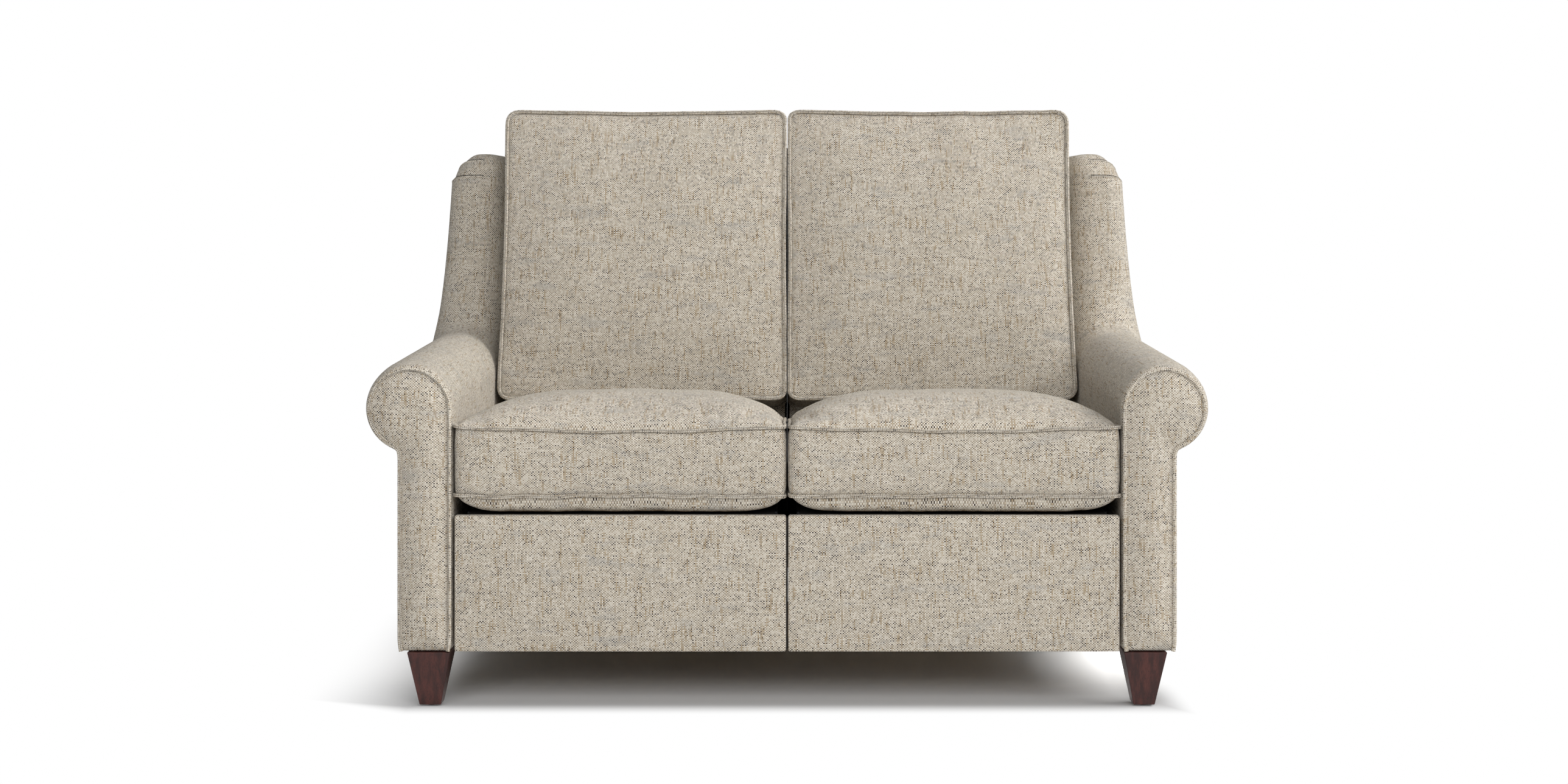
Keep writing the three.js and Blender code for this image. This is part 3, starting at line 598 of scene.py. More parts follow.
# %% [markdown]
# The front of each arm is a flat panel of cloth over thin padding, in the
# shape of a post with a round roll on top. A welt runs up the inner side,
# round the roll and down the outer side, and stops at the bottom edge. The
# panel stands a few millimetres proud in the middle, because its padding
# ends just before the seam.

# %% Outline of an arm from the front
def arm_profile(x, z, radius, centre_height, neck):
    """Distance from the outline of the post with its roll: negative inside."""
    roll = np.hypot(x - (bay_side + radius), z - centre_height) - radius
    post = rounded_meet(np.maximum(bay_side - x, x - (bay_side + post_width)), body_bottom - z, 0.009)
    post = np.maximum(post, z - centre_height)
    return np.maximum(soft_join(roll, post, neck), bay_side - x)


def arm_seam(inset):
    """The seam's path in x and z: up the inner side, round the roll, down the outer side."""
    radius, middle, outer = roll_radius - inset, bay_side + roll_radius, bay_side + post_width - inset
    neck = -math.acos((outer - middle) / radius)
    foot, low = body_bottom + 0.002, roll_height + radius * math.sin(neck)
    path = [(bay_side + inset, z) for z in np.linspace(foot, roll_height, 60)[:-1]]
    turn = np.linspace(math.pi, neck, 90)
    path += [(middle + radius * math.cos(a), roll_height + radius * math.sin(a)) for a in turn]
    path = np.array(path + [(outer, z) for z in np.linspace(low, foot, 60)[1:]])
    tucked = 0.0035 * np.clip(1 - (path[:, 1] - body_bottom) / 0.012, 0, 1) ** 2
    path[:, 0] += np.where(path[:, 0] < bay_side + post_width / 2, tucked, -tucked)
    for _ in range(6):
        path[1:-1] = 0.25 * path[:-2] + 0.5 * path[1:-1] + 0.25 * path[2:]
    return path


print("arm seam:", len(arm_seam(0.0033)), "points")

# %% Arm front panels and their welts
panel_step = 0.004
panel_thickness = front_high.y - front_low.y
panel_low = (bay_side - 0.006, -0.006, body_bottom - 0.006)
panel_high = (front_high.x + 0.008, panel_thickness + 0.008, front_high.z + 0.008)
x, depth, z = field_grid(panel_low, panel_high, panel_step)
outline = arm_profile(x, z, roll_radius, roll_height, 0.006) + 0.0012
padded_share = np.clip(-outline / 0.048, 0, 1)
puffed_front = 0.0130 - 0.0175 * (1 - (1 - padded_share) ** 2)
panel_field = rounded_meet(outline, np.maximum(puffed_front - depth, depth - panel_thickness), 0.0035)
panel_points, panel_faces = skin(panel_field, panel_low, panel_step)
panel_points[:, 1] += front_plane


def flat_chart(span, facing):
    """Cloth seen straight from the front, and wrapped round the edges."""
    across = np.where(np.abs(facing[..., 0]) > 0.7, span[..., 1], span[..., 0])
    return np.stack([across, span[..., 2]], -1)


panel_cloth = corner_map(panel_points, panel_faces, flat_chart)
seam = np.array([(x, front_plane + 0.0082, z) for x, z in arm_seam(0.0044)])
for side in sides:
    panel = shaped(f"arm_front_{side}", *on_side(side, panel_points, panel_faces, panel_cloth))
    dressed(panel, oatmeal, "root", f"arm_front_panel_{side}", fill=0.8)
    welt(f"arm_front_welt_{side}", "root", [on_side(side, seam)], radius=0.0038, seed=3)

# %% [markdown]
# Behind the front panel the arm's pad swells a little, climbs towards the
# back, and sweeps up into the wing. The wing narrows as it rises, and its
# front is thick and round. The cloth wraps the roll from the seat side over
# the top, so its map follows the way round the roll on the arm, and the way
# round the upright edge on the wing.

# %% Distance fields of the arm and the wing
wing_base, wing_top = 0.545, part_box("wing_pad_right")[1].z + 0.006
wing_straight = wing_top - 0.042 - wing_base
inner_bend, outer_bend = 0.062, 0.046


def climb_of(depth):
    return 0.017 * np.clip((depth - 0.108) / 0.532, 0, 1)


def arm_field(x, depth, z):
    radius = roll_radius + 0.007 * np.sqrt(np.clip((depth - 0.018) / 0.090, 0, 1))
    section = arm_profile(x, z, radius, roll_height + climb_of(depth), 0.012)
    ends = np.maximum(0.0183 - depth, depth - (arm_rear - front_plane))
    return rounded_meet(section, ends, 0.007)


def wing_edges(z):
    """Front, rear and outer side of the wing at a height."""
    share = np.clip((z - wing_base) / wing_straight, 0, 1)
    front = 0.640 + 0.105 * (1 - (1 - share) ** 3)
    rear = np.maximum(0.920, 0.900 + (z - hinge.z) * back_slope)
    return front, rear, bay_side + 0.1575 - 0.037 * share ** 0.7


def wing_field(x, depth, z):
    front, rear, outer = wing_edges(z)
    section = rounded_meet(bay_side - x, front - depth, inner_bend)
    section = rounded_meet(section, x - outer, outer_bend)
    section = rounded_meet(section, depth - rear, 0.014)
    top_round = 0.034 + 0.034 * np.clip((x - bay_side) / 0.117, 0, 1)
    return rounded_meet(section, np.maximum(z - wing_top, 0.45 - z), top_round)


print("wing from", round(wing_base, 3), "to", round(wing_top, 3))

# %% Join them and lay the skin
cover_step = 0.006
cover_low = (bay_side - 0.0065, 0.008, body_bottom - 0.0065)
x, depth, z = field_grid(cover_low, (bay_side + 0.185, 0.985, wing_top + 0.012), cover_step)
fields = [arm_field(x, depth, z), wing_field(x, depth, z)]

# The sweep is filled only where the two surfaces face different ways, not where one carries on as the other
arm_way, wing_way = (np.stack(np.gradient(field, cover_step)) for field in fields)
lengths = np.linalg.norm(arm_way, axis=0) * np.linalg.norm(wing_way, axis=0)
turning = 1 - (arm_way * wing_way).sum(0) / np.maximum(lengths, 1e-6)
cover_field = soft_join(*fields, 0.004 + 0.125 * np.clip(turning, 0, 1))
cover_field = np.maximum.reduce([cover_field, bay_side - x, depth - wing_edges(z)[1]])
cover_points, cover_faces = skin(cover_field, cover_low, cover_step)
print("cover:", len(cover_points), "points,", len(cover_faces), "faces")


# %% Lay the cloth on the arm and wing
def arm_chart(p):
    """Round the roll, and along the arm."""
    x, depth, z = np.moveaxis(p, -1, 0)
    radius = roll_radius + 0.007
    middle, height = bay_side + radius, roll_height + climb_of(depth)
    round_way = radius * (math.pi - np.arctan2(z - height, x - middle))
    neck = -math.acos((post_width - radius) / radius)
    neck_height = height + radius * math.sin(neck)
    outer_side = (z < neck_height + 0.004) & (x > bay_side + 0.5 * post_width)
    round_way = np.where(outer_side, radius * (math.pi - neck) + (neck_height - z), round_way)
    inner_side = (x < middle) & (z < height) & ~outer_side
    return np.stack([np.where(inner_side, z - height, round_way), depth], -1)


def wing_chart(p):
    """Round the wing's upright edge, and up it."""
    x, depth, z = np.moveaxis(p, -1, 0)
    front, _, outer = wing_edges(z)
    inner_corner, outer_corner = bay_side + inner_bend, outer - outer_bend
    inner_start, outer_start = front + inner_bend, front + outer_bend
    flat, quarter = np.maximum(outer_corner - inner_corner, 0), math.pi / 2
    inner_turn = np.arctan2(inner_start - depth, inner_corner - x)
    outer_turn = np.arctan2(x - outer_corner, outer_start - depth)
    on_inner = x < 0.5 * (inner_corner + outer_corner)
    way = np.clip(x - inner_corner, 0, flat)
    for part, value in (
        ((x < inner_corner) & (depth < inner_start), inner_bend * (inner_turn - quarter)),
        ((x > outer_corner) & (depth < outer_start), flat + outer_bend * outer_turn),
        ((depth >= inner_start) & on_inner, -inner_bend * quarter - (depth - inner_start)),
        ((depth >= outer_start) & ~on_inner, flat + outer_bend * quarter + (depth - outer_start)),
    ):
        way = np.where(part, value, way)
    return np.stack([way, z], -1)


def cover_chart(span, facing):
    centre = np.moveaxis(span.mean(1), -1, 0)
    on_wing = (wing_field(*centre) < arm_field(*centre))[:, None, None]
    cloth = np.where(on_wing, wing_chart(span), arm_chart(span))
    forward, up = facing[..., 1:2], facing[..., 2:3]
    cloth = np.where((np.abs(up) > 0.8) & (on_wing | (up < 0)), span[..., [0, 1]], cloth)
    return np.where((np.abs(forward) > 0.8) & ((forward > 0) | ~on_wing), span[..., [0, 2]], cloth)


cover_cloth = corner_map(cover_points, cover_faces, cover_chart)

# At each pleat the cloth below overlaps the cloth above, which is set in under the fold
fold_axis = (bay_side + 0.049, 0.80)
fold_turns = np.radians((0, 30, 55, 80, 95, 120))
fold_heights = [(0.948, 0.948, 0.946, 0.938, 0.928, 0.915), (0.982, 0.982, 0.979, 0.968, 0.955, 0.940)]
turn = np.arctan2(cover_points[:, 0] - fold_axis[0], fold_axis[1] - cover_points[:, 1])
outer_share = np.interp(turn, np.radians((0, 70, 100, 130)), (0, 1, 1, 0))
above = [cover_points[:, 2] - np.interp(turn, fold_turns, heights) for heights in fold_heights]
set_in = 0.0040 * sum(np.clip(height / 0.003, 0, 1) for height in above) * outer_share
cover_points[:, 0] -= set_in * np.sin(turn)
cover_points[:, 1] += set_in * np.cos(turn) + front_plane
covers = {}
for side in sides:
    cover = shaped(f"arm_and_wing_{side}", *on_side(side, cover_points, cover_faces, cover_cloth))
    covers[side] = dressed(cover, oatmeal, "root", f"arm_pad_{side}", f"wing_pad_{side}", fill=0.85)

# %% [markdown]
# At the top of each wing the cloth is taken in by two short pleats, so that
# it can turn the outer corner without bunching. A thin rolled fold is laid on
# the cover along each one. Above each fold lies a hair-thin dark cord of
# painted shade, which stands in for the shade in the gap under the fold.
# Their places are found by looking at the cover from outside, towards a line
# that stands inside the wing.

# %% Pleats at the top of each wing
def on_cover(side, heights, raised, sunk):
    """A row of points on the cover along a pleat, raised above it and sunk into the cloth by so much."""
    cover_tree = BVHTree.FromObject(covers[side], bpy.context.evaluated_depsgraph_get())
    row = []
    for angle in np.linspace(fold_turns[0], fold_turns[-1], 26):
        height = float(np.interp(angle, fold_turns, heights))
        away = Vector((hand[side] * math.sin(angle), -math.cos(angle), 0.0))
        eye = Vector((hand[side] * fold_axis[0], front_plane + fold_axis[1], height + raised)) + away * 0.4
        spot, facing = cover_tree.ray_cast(eye, -away, 0.5)[:2]
        if spot is not None:
            row.append(tuple(spot - facing * sunk))
    return row


for side in sides:
    folds = [on_cover(side, heights, -0.0008, 0.0012) for heights in fold_heights]
    welt(f"wing_pleats_{side}", "root", folds, radius=0.0028, sway=0.0004, seed=5, finish=oatmeal)
    # Painted shade: a thin dark cord above each fold stands in for the shade in the gap under it
    pleat_shade_rows = [on_cover(side, heights, 0.0024, 0.0002) for heights in fold_heights]
    welt(f"painted_pleat_shade_{side}", "root", pleat_shade_rows, radius=0.0009, sway=0.0, seed=5, finish=lining)

# %% [markdown]
# The seat cushions are boxed: a top panel and a bottom panel are sewn to a
# band that runs round the side, with a welt in each seam. The panels are cut
# a little full, so the filling crowns them, while the seams hold the edges
# down and the corners stand out as small ears. The top of a seat falls
# towards the rear, where the sitter leans back. The mesh follows the sewing:
# one grid for each panel, rows of faces for the band, and shared points along
# the two seams. The same function cuts the back cushions.

# %% The seam line of a boxed cushion
def seam_side(width, length, corner, draw, ear, turn, count):
    """Points of one side of the seam, from corner to corner, square to the direction turn."""
    reach_out, reach_side = (width / 2, length / 2) if turn in (0, 180) else (length / 2, width / 2)
    straight = reach_side - corner
    angles = np.radians(np.linspace(-45, 0, 12))
    swell = corner + ear * np.cos(2 * (angles + math.pi / 4)) ** 2
    start = np.stack([reach_out - corner + swell * np.cos(angles), -straight + swell * np.sin(angles)], -1)
    along = np.linspace(-straight, straight, 60)[1:-1]
    middle = np.stack([reach_out - draw * np.sin(math.pi * (along + straight) / (2 * straight)), along], -1)
    path = np.concatenate([start, middle, (start * (1, -1))[::-1]])
    lengths = np.concatenate([[0], np.cumsum(np.linalg.norm(np.diff(path, axis=0), axis=1))])
    even = np.linspace(0, lengths[-1], count)
    local = np.stack([np.interp(even, lengths, path[:, k]) for k in (0, 1)], -1)
    c, s = round(math.cos(math.radians(turn))), round(math.sin(math.radians(turn)))
    return local @ np.array([[c, s], [-s, c]])


def way_along(ring):
    """The way from point to point round a closed row, from 0 to its full length."""
    steps = np.linalg.norm(np.roll(ring, -1, axis=0) - ring, axis=1)
    return np.concatenate([[0], np.cumsum(steps)])


def ripples(rng, way, waves, depth):
    """A sum of sines along a closed row, which meets itself."""
    total = np.zeros(len(way) - 1)
    for wave in waves:
        total += rng.normal(0, depth) * np.sin(2 * math.pi * wave * way[:-1] / way[-1] + rng.uniform(0, 6.3))
    return total


# %% Cut and sew a boxed cushion
def mark_seams(mesh, rings, total):
    """A crease along each seam, so that rounding the cushion keeps it."""
    ends = np.empty(len(mesh.edges) * 2, dtype=np.int32)
    mesh.edges.foreach_get("vertices", ends)
    ends = ends.reshape(-1, 2)
    sharp = np.zeros(len(ends), dtype=np.float32)
    for ring in rings:
        order = np.full(total, -1)
        order[ring] = np.arange(len(ring))
        gap = np.abs(order[ends[:, 0]] - order[ends[:, 1]])
        sharp[(order[ends] >= 0).all(1) & ((gap == 1) | (gap == len(ring) - 1))] = 0.9
    mesh.attributes.new("crease_edge", "FLOAT", "EDGE").data.foreach_set("value", sharp)


def boxed_cushion(
    name, seed, width, length, boxing, corner, draw, ear, crown, crown_power, belly, belly_powers, sag, fall, step
):
    """The sewn cushion round the origin, its crown upwards, with what the later steps need to know."""
    rng = np.random.default_rng(seed)
    across, along, band = round(width / step) + 1, round(length / step) + 1, max(round(boxing / step), 4)
    near, right, far, left = (
        seam_side(width, length, corner, draw, ear, turn, count)
        for turn, count in ((270, across), (0, along), (90, across), (180, along))
    )
    far, left = far[::-1], left[::-1]
    u, v = np.linspace(0, 1, across)[:, None, None], np.linspace(0, 1, along)[None, :, None]
    plan = (1 - v) * near[:, None] + v * far[:, None] + (1 - u) * left[None] + u * right[None]
    plan = plan - ((1 - u) * (1 - v) * near[0] + u * (1 - v) * near[-1] + (1 - u) * v * far[0] + u * v * far[-1])
    plan = plan.reshape(-1, 2)
    uu, vv = np.abs(2 * u[..., 0] - 1), np.abs(2 * v[..., 0] - 1)
    dome = ((1 - uu ** crown_power) * (1 - vv ** crown_power)).ravel()
    under = ((1 - uu ** belly_powers[0]) * (1 - vv ** belly_powers[1])).ravel()
    count = across * along
    grid = np.arange(count).reshape(across, along)
    border = np.concatenate([grid[:-1, 0], grid[-1, :-1], grid[:0:-1, -1], grid[0, :0:-1]])
    rim, round_rim = plan[border], len(border)
    way = way_along(rim)

    # Each seam wanders by about a millimetre, and the upper one sinks a little at the middle of the front
    wander = np.array([ripples(rng, way, rng.integers(3, 22, 8), 0.0005) for _ in range(2)])
    front = (rim[:, 1] < -length / 2 + corner) | (np.arange(round_rim) < across)
    wander[0] -= np.where(front, sag * np.clip(1 - (2 * rim[:, 0] / width) ** 2, 0, 1), 0)

    # The seam's wander fades into the panel behind it
    nearest = np.linalg.norm(plan[:, None] - rim[None, ::3], axis=2)
    pick, fade = nearest.argmin(1) * 3 % round_rim, np.exp(-nearest.min(1) / 0.030)
    points = []
    for level, full in enumerate((dome * crown, -under * belly)):
        rise = wander[level][pick] * fade
        rise[border] = wander[level]
        points.append(np.column_stack([plan, (0.5 - level) * boxing + full + rise]))
    points[0][:, 2] -= fall * np.clip(plan[:, 1] / length + 0.5, 0, 1)
    a, b, c, d = (part.ravel() for part in (grid[:-1, :-1], grid[1:, :-1], grid[1:, 1:], grid[:-1, 1:]))
    panels = [np.stack(quad, 1) for quad in ([a, b, c, d], [a, d, c, b])]
    faces, cloth = [panels[0], panels[1] + count], [plan[quads] for quads in panels]
    top_rim, low_rim = points[0][border], points[1][border]
    rows = [border, *(2 * count + k * round_rim + np.arange(round_rim) for k in range(band - 1)), border + count]
    points += [top_rim + (low_rim - top_rim) * k / band for k in range(1, band)]
    for k, (upper, lower) in enumerate(zip(rows, rows[1:])):
        faces.append(np.stack([upper, lower, np.roll(lower, -1), np.roll(upper, -1)], 1))
        heights = [boxing * (0.5 - (k + j) / band) for j in (0, 1, 1, 0)]
        ways = (way[:-1], way[:-1], way[1:], way[1:])
        cloth.append(np.stack([np.stack([w, np.full_like(w, z)], -1) for w, z in zip(ways, heights)], 1))
    points = np.concatenate(points)
    piece = shaped(name, points, np.concatenate(faces), np.concatenate(cloth))
    mark_seams(piece.data, (rows[0], rows[-1]), len(points))
    return {
        "piece": piece,
        "size": (width, length, boxing),
        "panel": slice(0, count),
        "belly": slice(count, 2 * count),
        "band": slice(2 * count, len(points)),
        "seams": (rows[0], rows[-1]),
        "dome": dome,
        "under": under,
        "rng": rng,
        "start": points,
    }


print("cushions can be cut")

# %% [markdown]
# The filling is a cloth simulation. Each cushion starts a little slack, with
# its seams pinned and the part that it rests on pinned too. Air pressure
# blows the panels up for twenty frames with gravity off, and all four
# cushions swell in the same run. How far a point may move is limited, more
# at the crown and less at the sides, so that the cushion stays clear of the
# arms and its neighbour. The filling smooths half of what the run creased.
# Last, the panels get the small puckers that a seam pulls into them.

# %% Fill the cushions
def fill_cushions(cushions, frames=20):
    """Cloth with air pressure on every cushion at once: keeps where each point ends up."""
    for cushion in cushions:
        piece = cushion["piece"]
        held = piece.vertex_groups.new(name="held")
        rest = np.where(cushion["under"] > 0.97)[0] + cushion["belly"].start
        held.add([int(k) for part in (*cushion["seams"], rest) for k in part], 1.0, "REPLACE")
        cloth = piece.modifiers.new("Cloth", "CLOTH")
        for setting, value in {
            "quality": 5,
            "mass": 0.3,
            "tension_stiffness": 15,
            "compression_stiffness": 15,
            "shear_stiffness": 5,
            "bending_stiffness": 0.6,
            "shrink_min": -0.012,
            "use_pressure": True,
            "uniform_pressure_force": 4.0,
            "vertex_group_mass": held.name,
        }.items():
            setattr(cloth.settings, setting, value)
        cloth.settings.effector_weights.gravity = 0.0
        cloth.collision_settings.use_collision = False
        cloth.point_cache.frame_start, cloth.point_cache.frame_end = 1, frames
    for number in range(1, frames + 1):
        bpy.context.scene.frame_set(number)
    graph = bpy.context.evaluated_depsgraph_get()
    for cushion in cushions:
        filled = cushion["piece"].evaluated_get(graph)
        cushion["filled"] = points_of(filled.to_mesh())
        filled.to_mesh_clear()
    for cushion in cushions:
        cushion["piece"].modifiers.clear()
        cushion["piece"].vertex_groups.clear()
    bpy.context.scene.frame_set(1)


def limited(moves, most):
    """Moves held softly below the most that each point may go."""
    return moves / np.sqrt(1 + (np.linalg.norm(moves, axis=1) / most) ** 2)[:, None]


def finish_cushion(cushion, crown_left, band_room, pucker, fullness):
    """Raise the crown, keep the band within its room (front, right, rear, left), and pucker the seams."""
    start, rng, dome = cushion["start"], cushion["rng"], cushion["dome"]
    width, length, boxing = cushion["size"]
    panel, band, belly = cushion["panel"], cushion["band"], cushion["belly"]
    moves = cushion.get("filled", start) - start
    rise = moves[panel, 2].copy()
    if "filled" in cushion:
        moves[panel] *= crown_left / rise.max()
        share = np.clip(rise / rise.max(), 0, 1)
        moves[panel, 2] = crown_left * 0.5 * (share ** fullness + dome ** fullness)
    else:
        moves[panel, 2] += crown_left * dome ** fullness
    facing = 2 * start[band, :2] / (width, length)
    front, right, rear, left = band_room
    beside = np.abs(facing[:, 0]) > np.abs(facing[:, 1])
    room = np.where(beside, np.where(facing[:, 0] > 0, right, left), np.where(facing[:, 1] > 0, rear, front))
    if "filled" not in cushion:
        outward = facing ** 9 / np.maximum(np.linalg.norm(facing ** 9, axis=1, keepdims=True), 1e-9)
        moves[band, :2] = outward * (room * np.sin(math.pi * (0.5 - start[band, 2] / boxing)))[:, None]
    moves[band] = limited(moves[band], room)
    moves[belly] = limited(moves[belly], 0.006)
    moves[belly, 2] = np.maximum(moves[belly, 2], 0.0)
    points = start + moves

    seam = points[cushion["seams"][0]]
    waves = ripples(rng, way_along(seam), rng.integers(38, 95, 12), 0.33)
    apart = np.linalg.norm(points[panel][:, None, :2] - seam[None, :, :2], axis=2)
    nearest, distance = apart.argmin(1), apart.min(1)
    points[panel, 2] += pucker * waves[nearest] * np.exp(-distance / 0.018) * np.clip(distance / 0.006, 0, 1)
    lumps = np.zeros(len(dome))
    for _ in range(7):
        turn, length_of = rng.uniform(0, math.pi), rng.uniform(0.10, 0.28)
        ahead = points[panel, 0] * math.cos(turn) + points[panel, 1] * math.sin(turn)
        phase = ahead * 2 * math.pi / length_of
        lumps += rng.normal(0, 0.0006) * np.sin(phase + rng.uniform(0, 6.3))
    points[panel, 2] += lumps * dome ** 0.5
    points[band, 2] += 0.0006 * np.sin(points[band, 0] * 41 + points[band, 1] * 37 + rng.uniform(0, 6.3))
    cushion["points"] = points


print("cushions can be filled")

# %% Cut the four cushions
seat_boxing, seat_belly, seat_crown = 0.121, 0.033, 0.063
seat_width, seat_length, seat_middle = 0.584, 0.5477, Vector((0.295, front_plane + 0.27885, 0.0))
back_boxing, back_crown, back_rear_crown = 0.120, 0.029, 0.012
back_width, back_height, back_start = 0.579, 0.601, 0.139
shared = {"ear": 0.003, "step": 0.0085}
seat_cut = {
    "width": seat_width,
    "length": seat_length,
    "boxing": seat_boxing,
    "corner": 0.020,
    "draw": 0.0035,
    "crown": 0.65 * seat_crown,
    "crown_power": 4.4,
    "belly": seat_belly,
    "belly_powers": (12.0, 30.0),
    "sag": 0.008,
    "fall": 0.042,
}
back_cut = {
    "width": back_width,
    "length": back_height,
    "boxing": back_boxing,
    "corner": 0.028,
    "draw": 0.0045,
    "crown": 0.4 * back_crown,
    "crown_power": 2.6,
    "belly": back_rear_crown,
    "belly_powers": (26.0, 26.0),
    "sag": 0.0,
    "fall": 0.0,
}
seats, backs = (
    {side: boxed_cushion(f"{kind}_cushion_cover_{side}", k, **cut, **shared) for k, side in enumerate(sides, seed)}
    for kind, cut, seed in (("seat", seat_cut, 11), ("back", back_cut, 21))
)
cushions = [*seats.values(), *backs.values()]
print("points in each cushion:", [len(cushion["start"]) for cushion in cushions])

# %% Fill them, and set each in its place
fill_cushions(cushions)
rises = [(c["filled"] - c["start"])[c["panel"], 2].max() for c in cushions]
print("panel rise in the run, mm:", [round(1000 * float(rise), 1) for rise in rises])
for side in sides:
    finish_cushion(seats[side], 0.35 * seat_crown, (0.006, 0.0018, 0.003, 0.0018), 0.0006, 0.45)
    finish_cushion(backs[side], 0.6 * back_crown, (0.003, 0.0025, 0.006, 0.0018), 0.0010, 0.7)


def seat_in_place(points, side):
    """From round the origin to the seat, its near side to the front."""
    return points + (hand[side] * seat_middle.x, seat_middle.y, seat_low.z + seat_belly + seat_boxing / 2)


def back_in_place(points, side):
    """From lying flat to standing against the raked back, its near side down."""
    up = points[:, 1] + back_start + back_height / 2
    out = points[:, 2] + 0.137 - back_boxing / 2
    depth = hinge.y + up * math.sin(back_rake) - out * math.cos(back_rake)
    height = hinge.z + up * math.cos(back_rake) + out * math.sin(back_rake)
    return np.column_stack([hand[side] * (0.003 + back_width / 2) + points[:, 0], depth, height])


def sewn_seams(cushion, outward=0.0012, tuck=0.0026):
    """The two seams as rows of points a little outside the cloth, which is drawn in under them."""
    rows = []
    for sign, ring in zip((1, -1), cushion["seams"]):
        seam = cushion["points"][ring]
        along = (np.roll(seam, -1, axis=0) - np.roll(seam, 1, axis=0))[:, :2]
        along /= np.linalg.norm(along, axis=1, keepdims=True)
        out = np.column_stack([along[:, 1], -along[:, 0], np.full(len(along), 0.7 * sign)])
        rows.append(seam + outward * out)
        cushion["points"][ring] = seam - tuck * out / np.linalg.norm(out, axis=1, keepdims=True)
    return rows


def dress_cushion(cushion, place, side, kind, body, welt_radius, fill, seed):
    """Set the cushion in its place, round it, and run its welts, which keep to their side of the middle."""
    piece = cushion["piece"]
    seams = [place(seam, side) for seam in sewn_seams(cushion)]
    for seam in seams:
        seam[:, 0] = hand[side] * np.maximum(hand[side] * seam[:, 0], welt_radius + 0.0009)
    put_points(piece, place(cushion["points"], side))
    rounding = piece.modifiers.new("Soft", "SUBSURF")
    rounding.levels = rounding.render_levels = 1
    dressed(settled(piece), oatmeal, body, f"{kind}_cushion_{side}", fill=fill)
    welt(f"{kind}_cushion_welts_{side}", body, seams, closed=True, radius=welt_radius, seed=seed)


for number, side in enumerate(sides):
    dress_cushion(seats[side], seat_in_place, side, "seat", f"seat_{side}", 0.0031, 0.8, 31 + number)
    dress_cushion(backs[side], back_in_place, side, "back", f"back_{side}", 0.0040, 0.75, 41 + number)

# %% [markdown]
# The footrest fronts, the outside backs and the low panel behind are boards
# with thin padding under the cloth: flat, with soft edges, and a little
# fuller in the middle. Each is one closed mesh whose faces are close
# together at the edges, where it turns, and wide apart in the middle. The
# block is made square, its edges are rounded by moving each point onto a
# small radius, and its padded sides are then pushed out.

# %% A padded board
def marks(low, high, edge, step):
    """Places along one side: close together at both edges."""
    turn = edge * np.array([0.0, 0.28, 0.6, 1.0])
    middle = np.linspace(low + edge, high - edge, max(int((high - low) / step), 1) + 1)
    return np.concatenate([low + turn[:-1], middle, high - turn[-2::-1]])


def padded_board(low, high, edge, puffs, step=0.014, seed=1):
    """Points, faces and cloth of a block with round edges. puffs gives how far a side stands out."""
    rng = np.random.default_rng(seed)
    low, high = np.array(low, float), np.array(high, float)
    axes = [marks(low[k], high[k], edge, step) for k in range(3)]
    points, faces, cloth, count = [], [], [], 0
    for axis in range(3):
        a, b = (axis + 1) % 3, (axis + 2) % 3
        first, second = np.meshgrid(axes[a], axes[b], indexing="ij")
        for end, sign in ((low, -1), (high, 1)):
            side = np.zeros(first.shape + (3,))
            side[..., axis], side[..., a], side[..., b] = end[axis], first, second
            core = np.clip(side, low + edge, high - edge)
            away = side - core
            side = core + edge * away / np.linalg.norm(away, axis=-1, keepdims=True)
            puff = puffs.get("-+"[sign > 0] + "xyz"[axis], 0.0)
            if puff:
                full = 1.0
                for way, k in ((first, a), (second, b)):
                    share = np.clip((2 * way - low[k] - high[k]) / (high[k] - low[k] - 2 * edge), -1, 1)
                    full = full * (1 - np.abs(share) ** 5)
                lumps = 0.0
                for _ in range(5):
                    depth = rng.normal(0, 0.12)
                    turns = first * rng.uniform(12, 34) + second * rng.uniform(12, 34)
                    lumps = lumps + depth * np.sin(turns + rng.uniform(0, 6.3))
                side[..., axis] += sign * puff * full * (1 + lumps)
            number = np.arange(first.size).reshape(first.shape)
            corners = [number[:-1, :-1], number[1:, :-1], number[1:, 1:], number[:-1, 1:]]
            quads = np.stack([c.ravel() for c in corners[::sign]], 1)
            flat = side.reshape(-1, 3)
            points.append(flat)
            faces.append(quads + count)
            cloth.append(flat[quads][:, :, sorted((a, b))])
            count += first.size
    points, faces = np.concatenate(points), np.concatenate(faces)
    _, keep, same = np.unique(np.round(points, 7), axis=0, return_index=True, return_inverse=True)
    return points[keep], same.ravel()[faces], np.concatenate(cloth)


print("padded boards ready")

# %% Footrest fronts and the low panel behind
pad_low, pad_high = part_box("footrest_pad_right")
for seed, side in enumerate(sides, 51):
    low = (pad_low.x - 0.0012, pad_low.y + 0.0035, pad_low.z + 0.0003)
    high = (pad_high.x - 0.0003, pad_high.y, pad_high.z + 0.0014)
    board = padded_board(low, high, 0.0040, {"-y": 0.0035}, seed=seed)
    front = shaped(f"footrest_front_{side}", *on_side(side, *board))
    dressed(front, oatmeal, f"footrest_panel_{side}", f"footrest_pad_{side}", fill=0.8)


def shade_strip(name, low, high, side, body):
    """A thin dark strip that closes a slot, shaped for the right: painted shade where the slot would be dark."""
    flap = shaped(name, *on_side(side, *padded_board(low, high, 0.0010, {}, step=0.05)))
    return dressed(flap, lining, body)


# A dark flap closes the slot between the two fronts, sewn to the left one only: painted shade where the slot would
# be dark
low, high = (-0.0014, pad_low.y + 0.010, pad_low.z + 0.004), (0.0032, pad_high.y - 0.001, pad_high.z - 0.004)
shade_strip("footrest_shade_strip", low, high, "left", "footrest_panel_left")

low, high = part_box("lower_back_panel")
board = padded_board(low, (high.x, high.y - 0.002, high.z), 0.005, {"+y": 0.003}, step=0.02, seed=53)
dressed(shaped("low_back_panel", *board), oatmeal, "root", "lower_back_panel", fill=0.8)

# %% [markdown]
# The outside of each back is a board too, but it leans. It is made upright
# round the line of its top edge and then turned about that line. A welt
# finishes its two sides and its top, as on the arms. The photograph shows
# the settee from the front only, so this seam is a guess from common work.

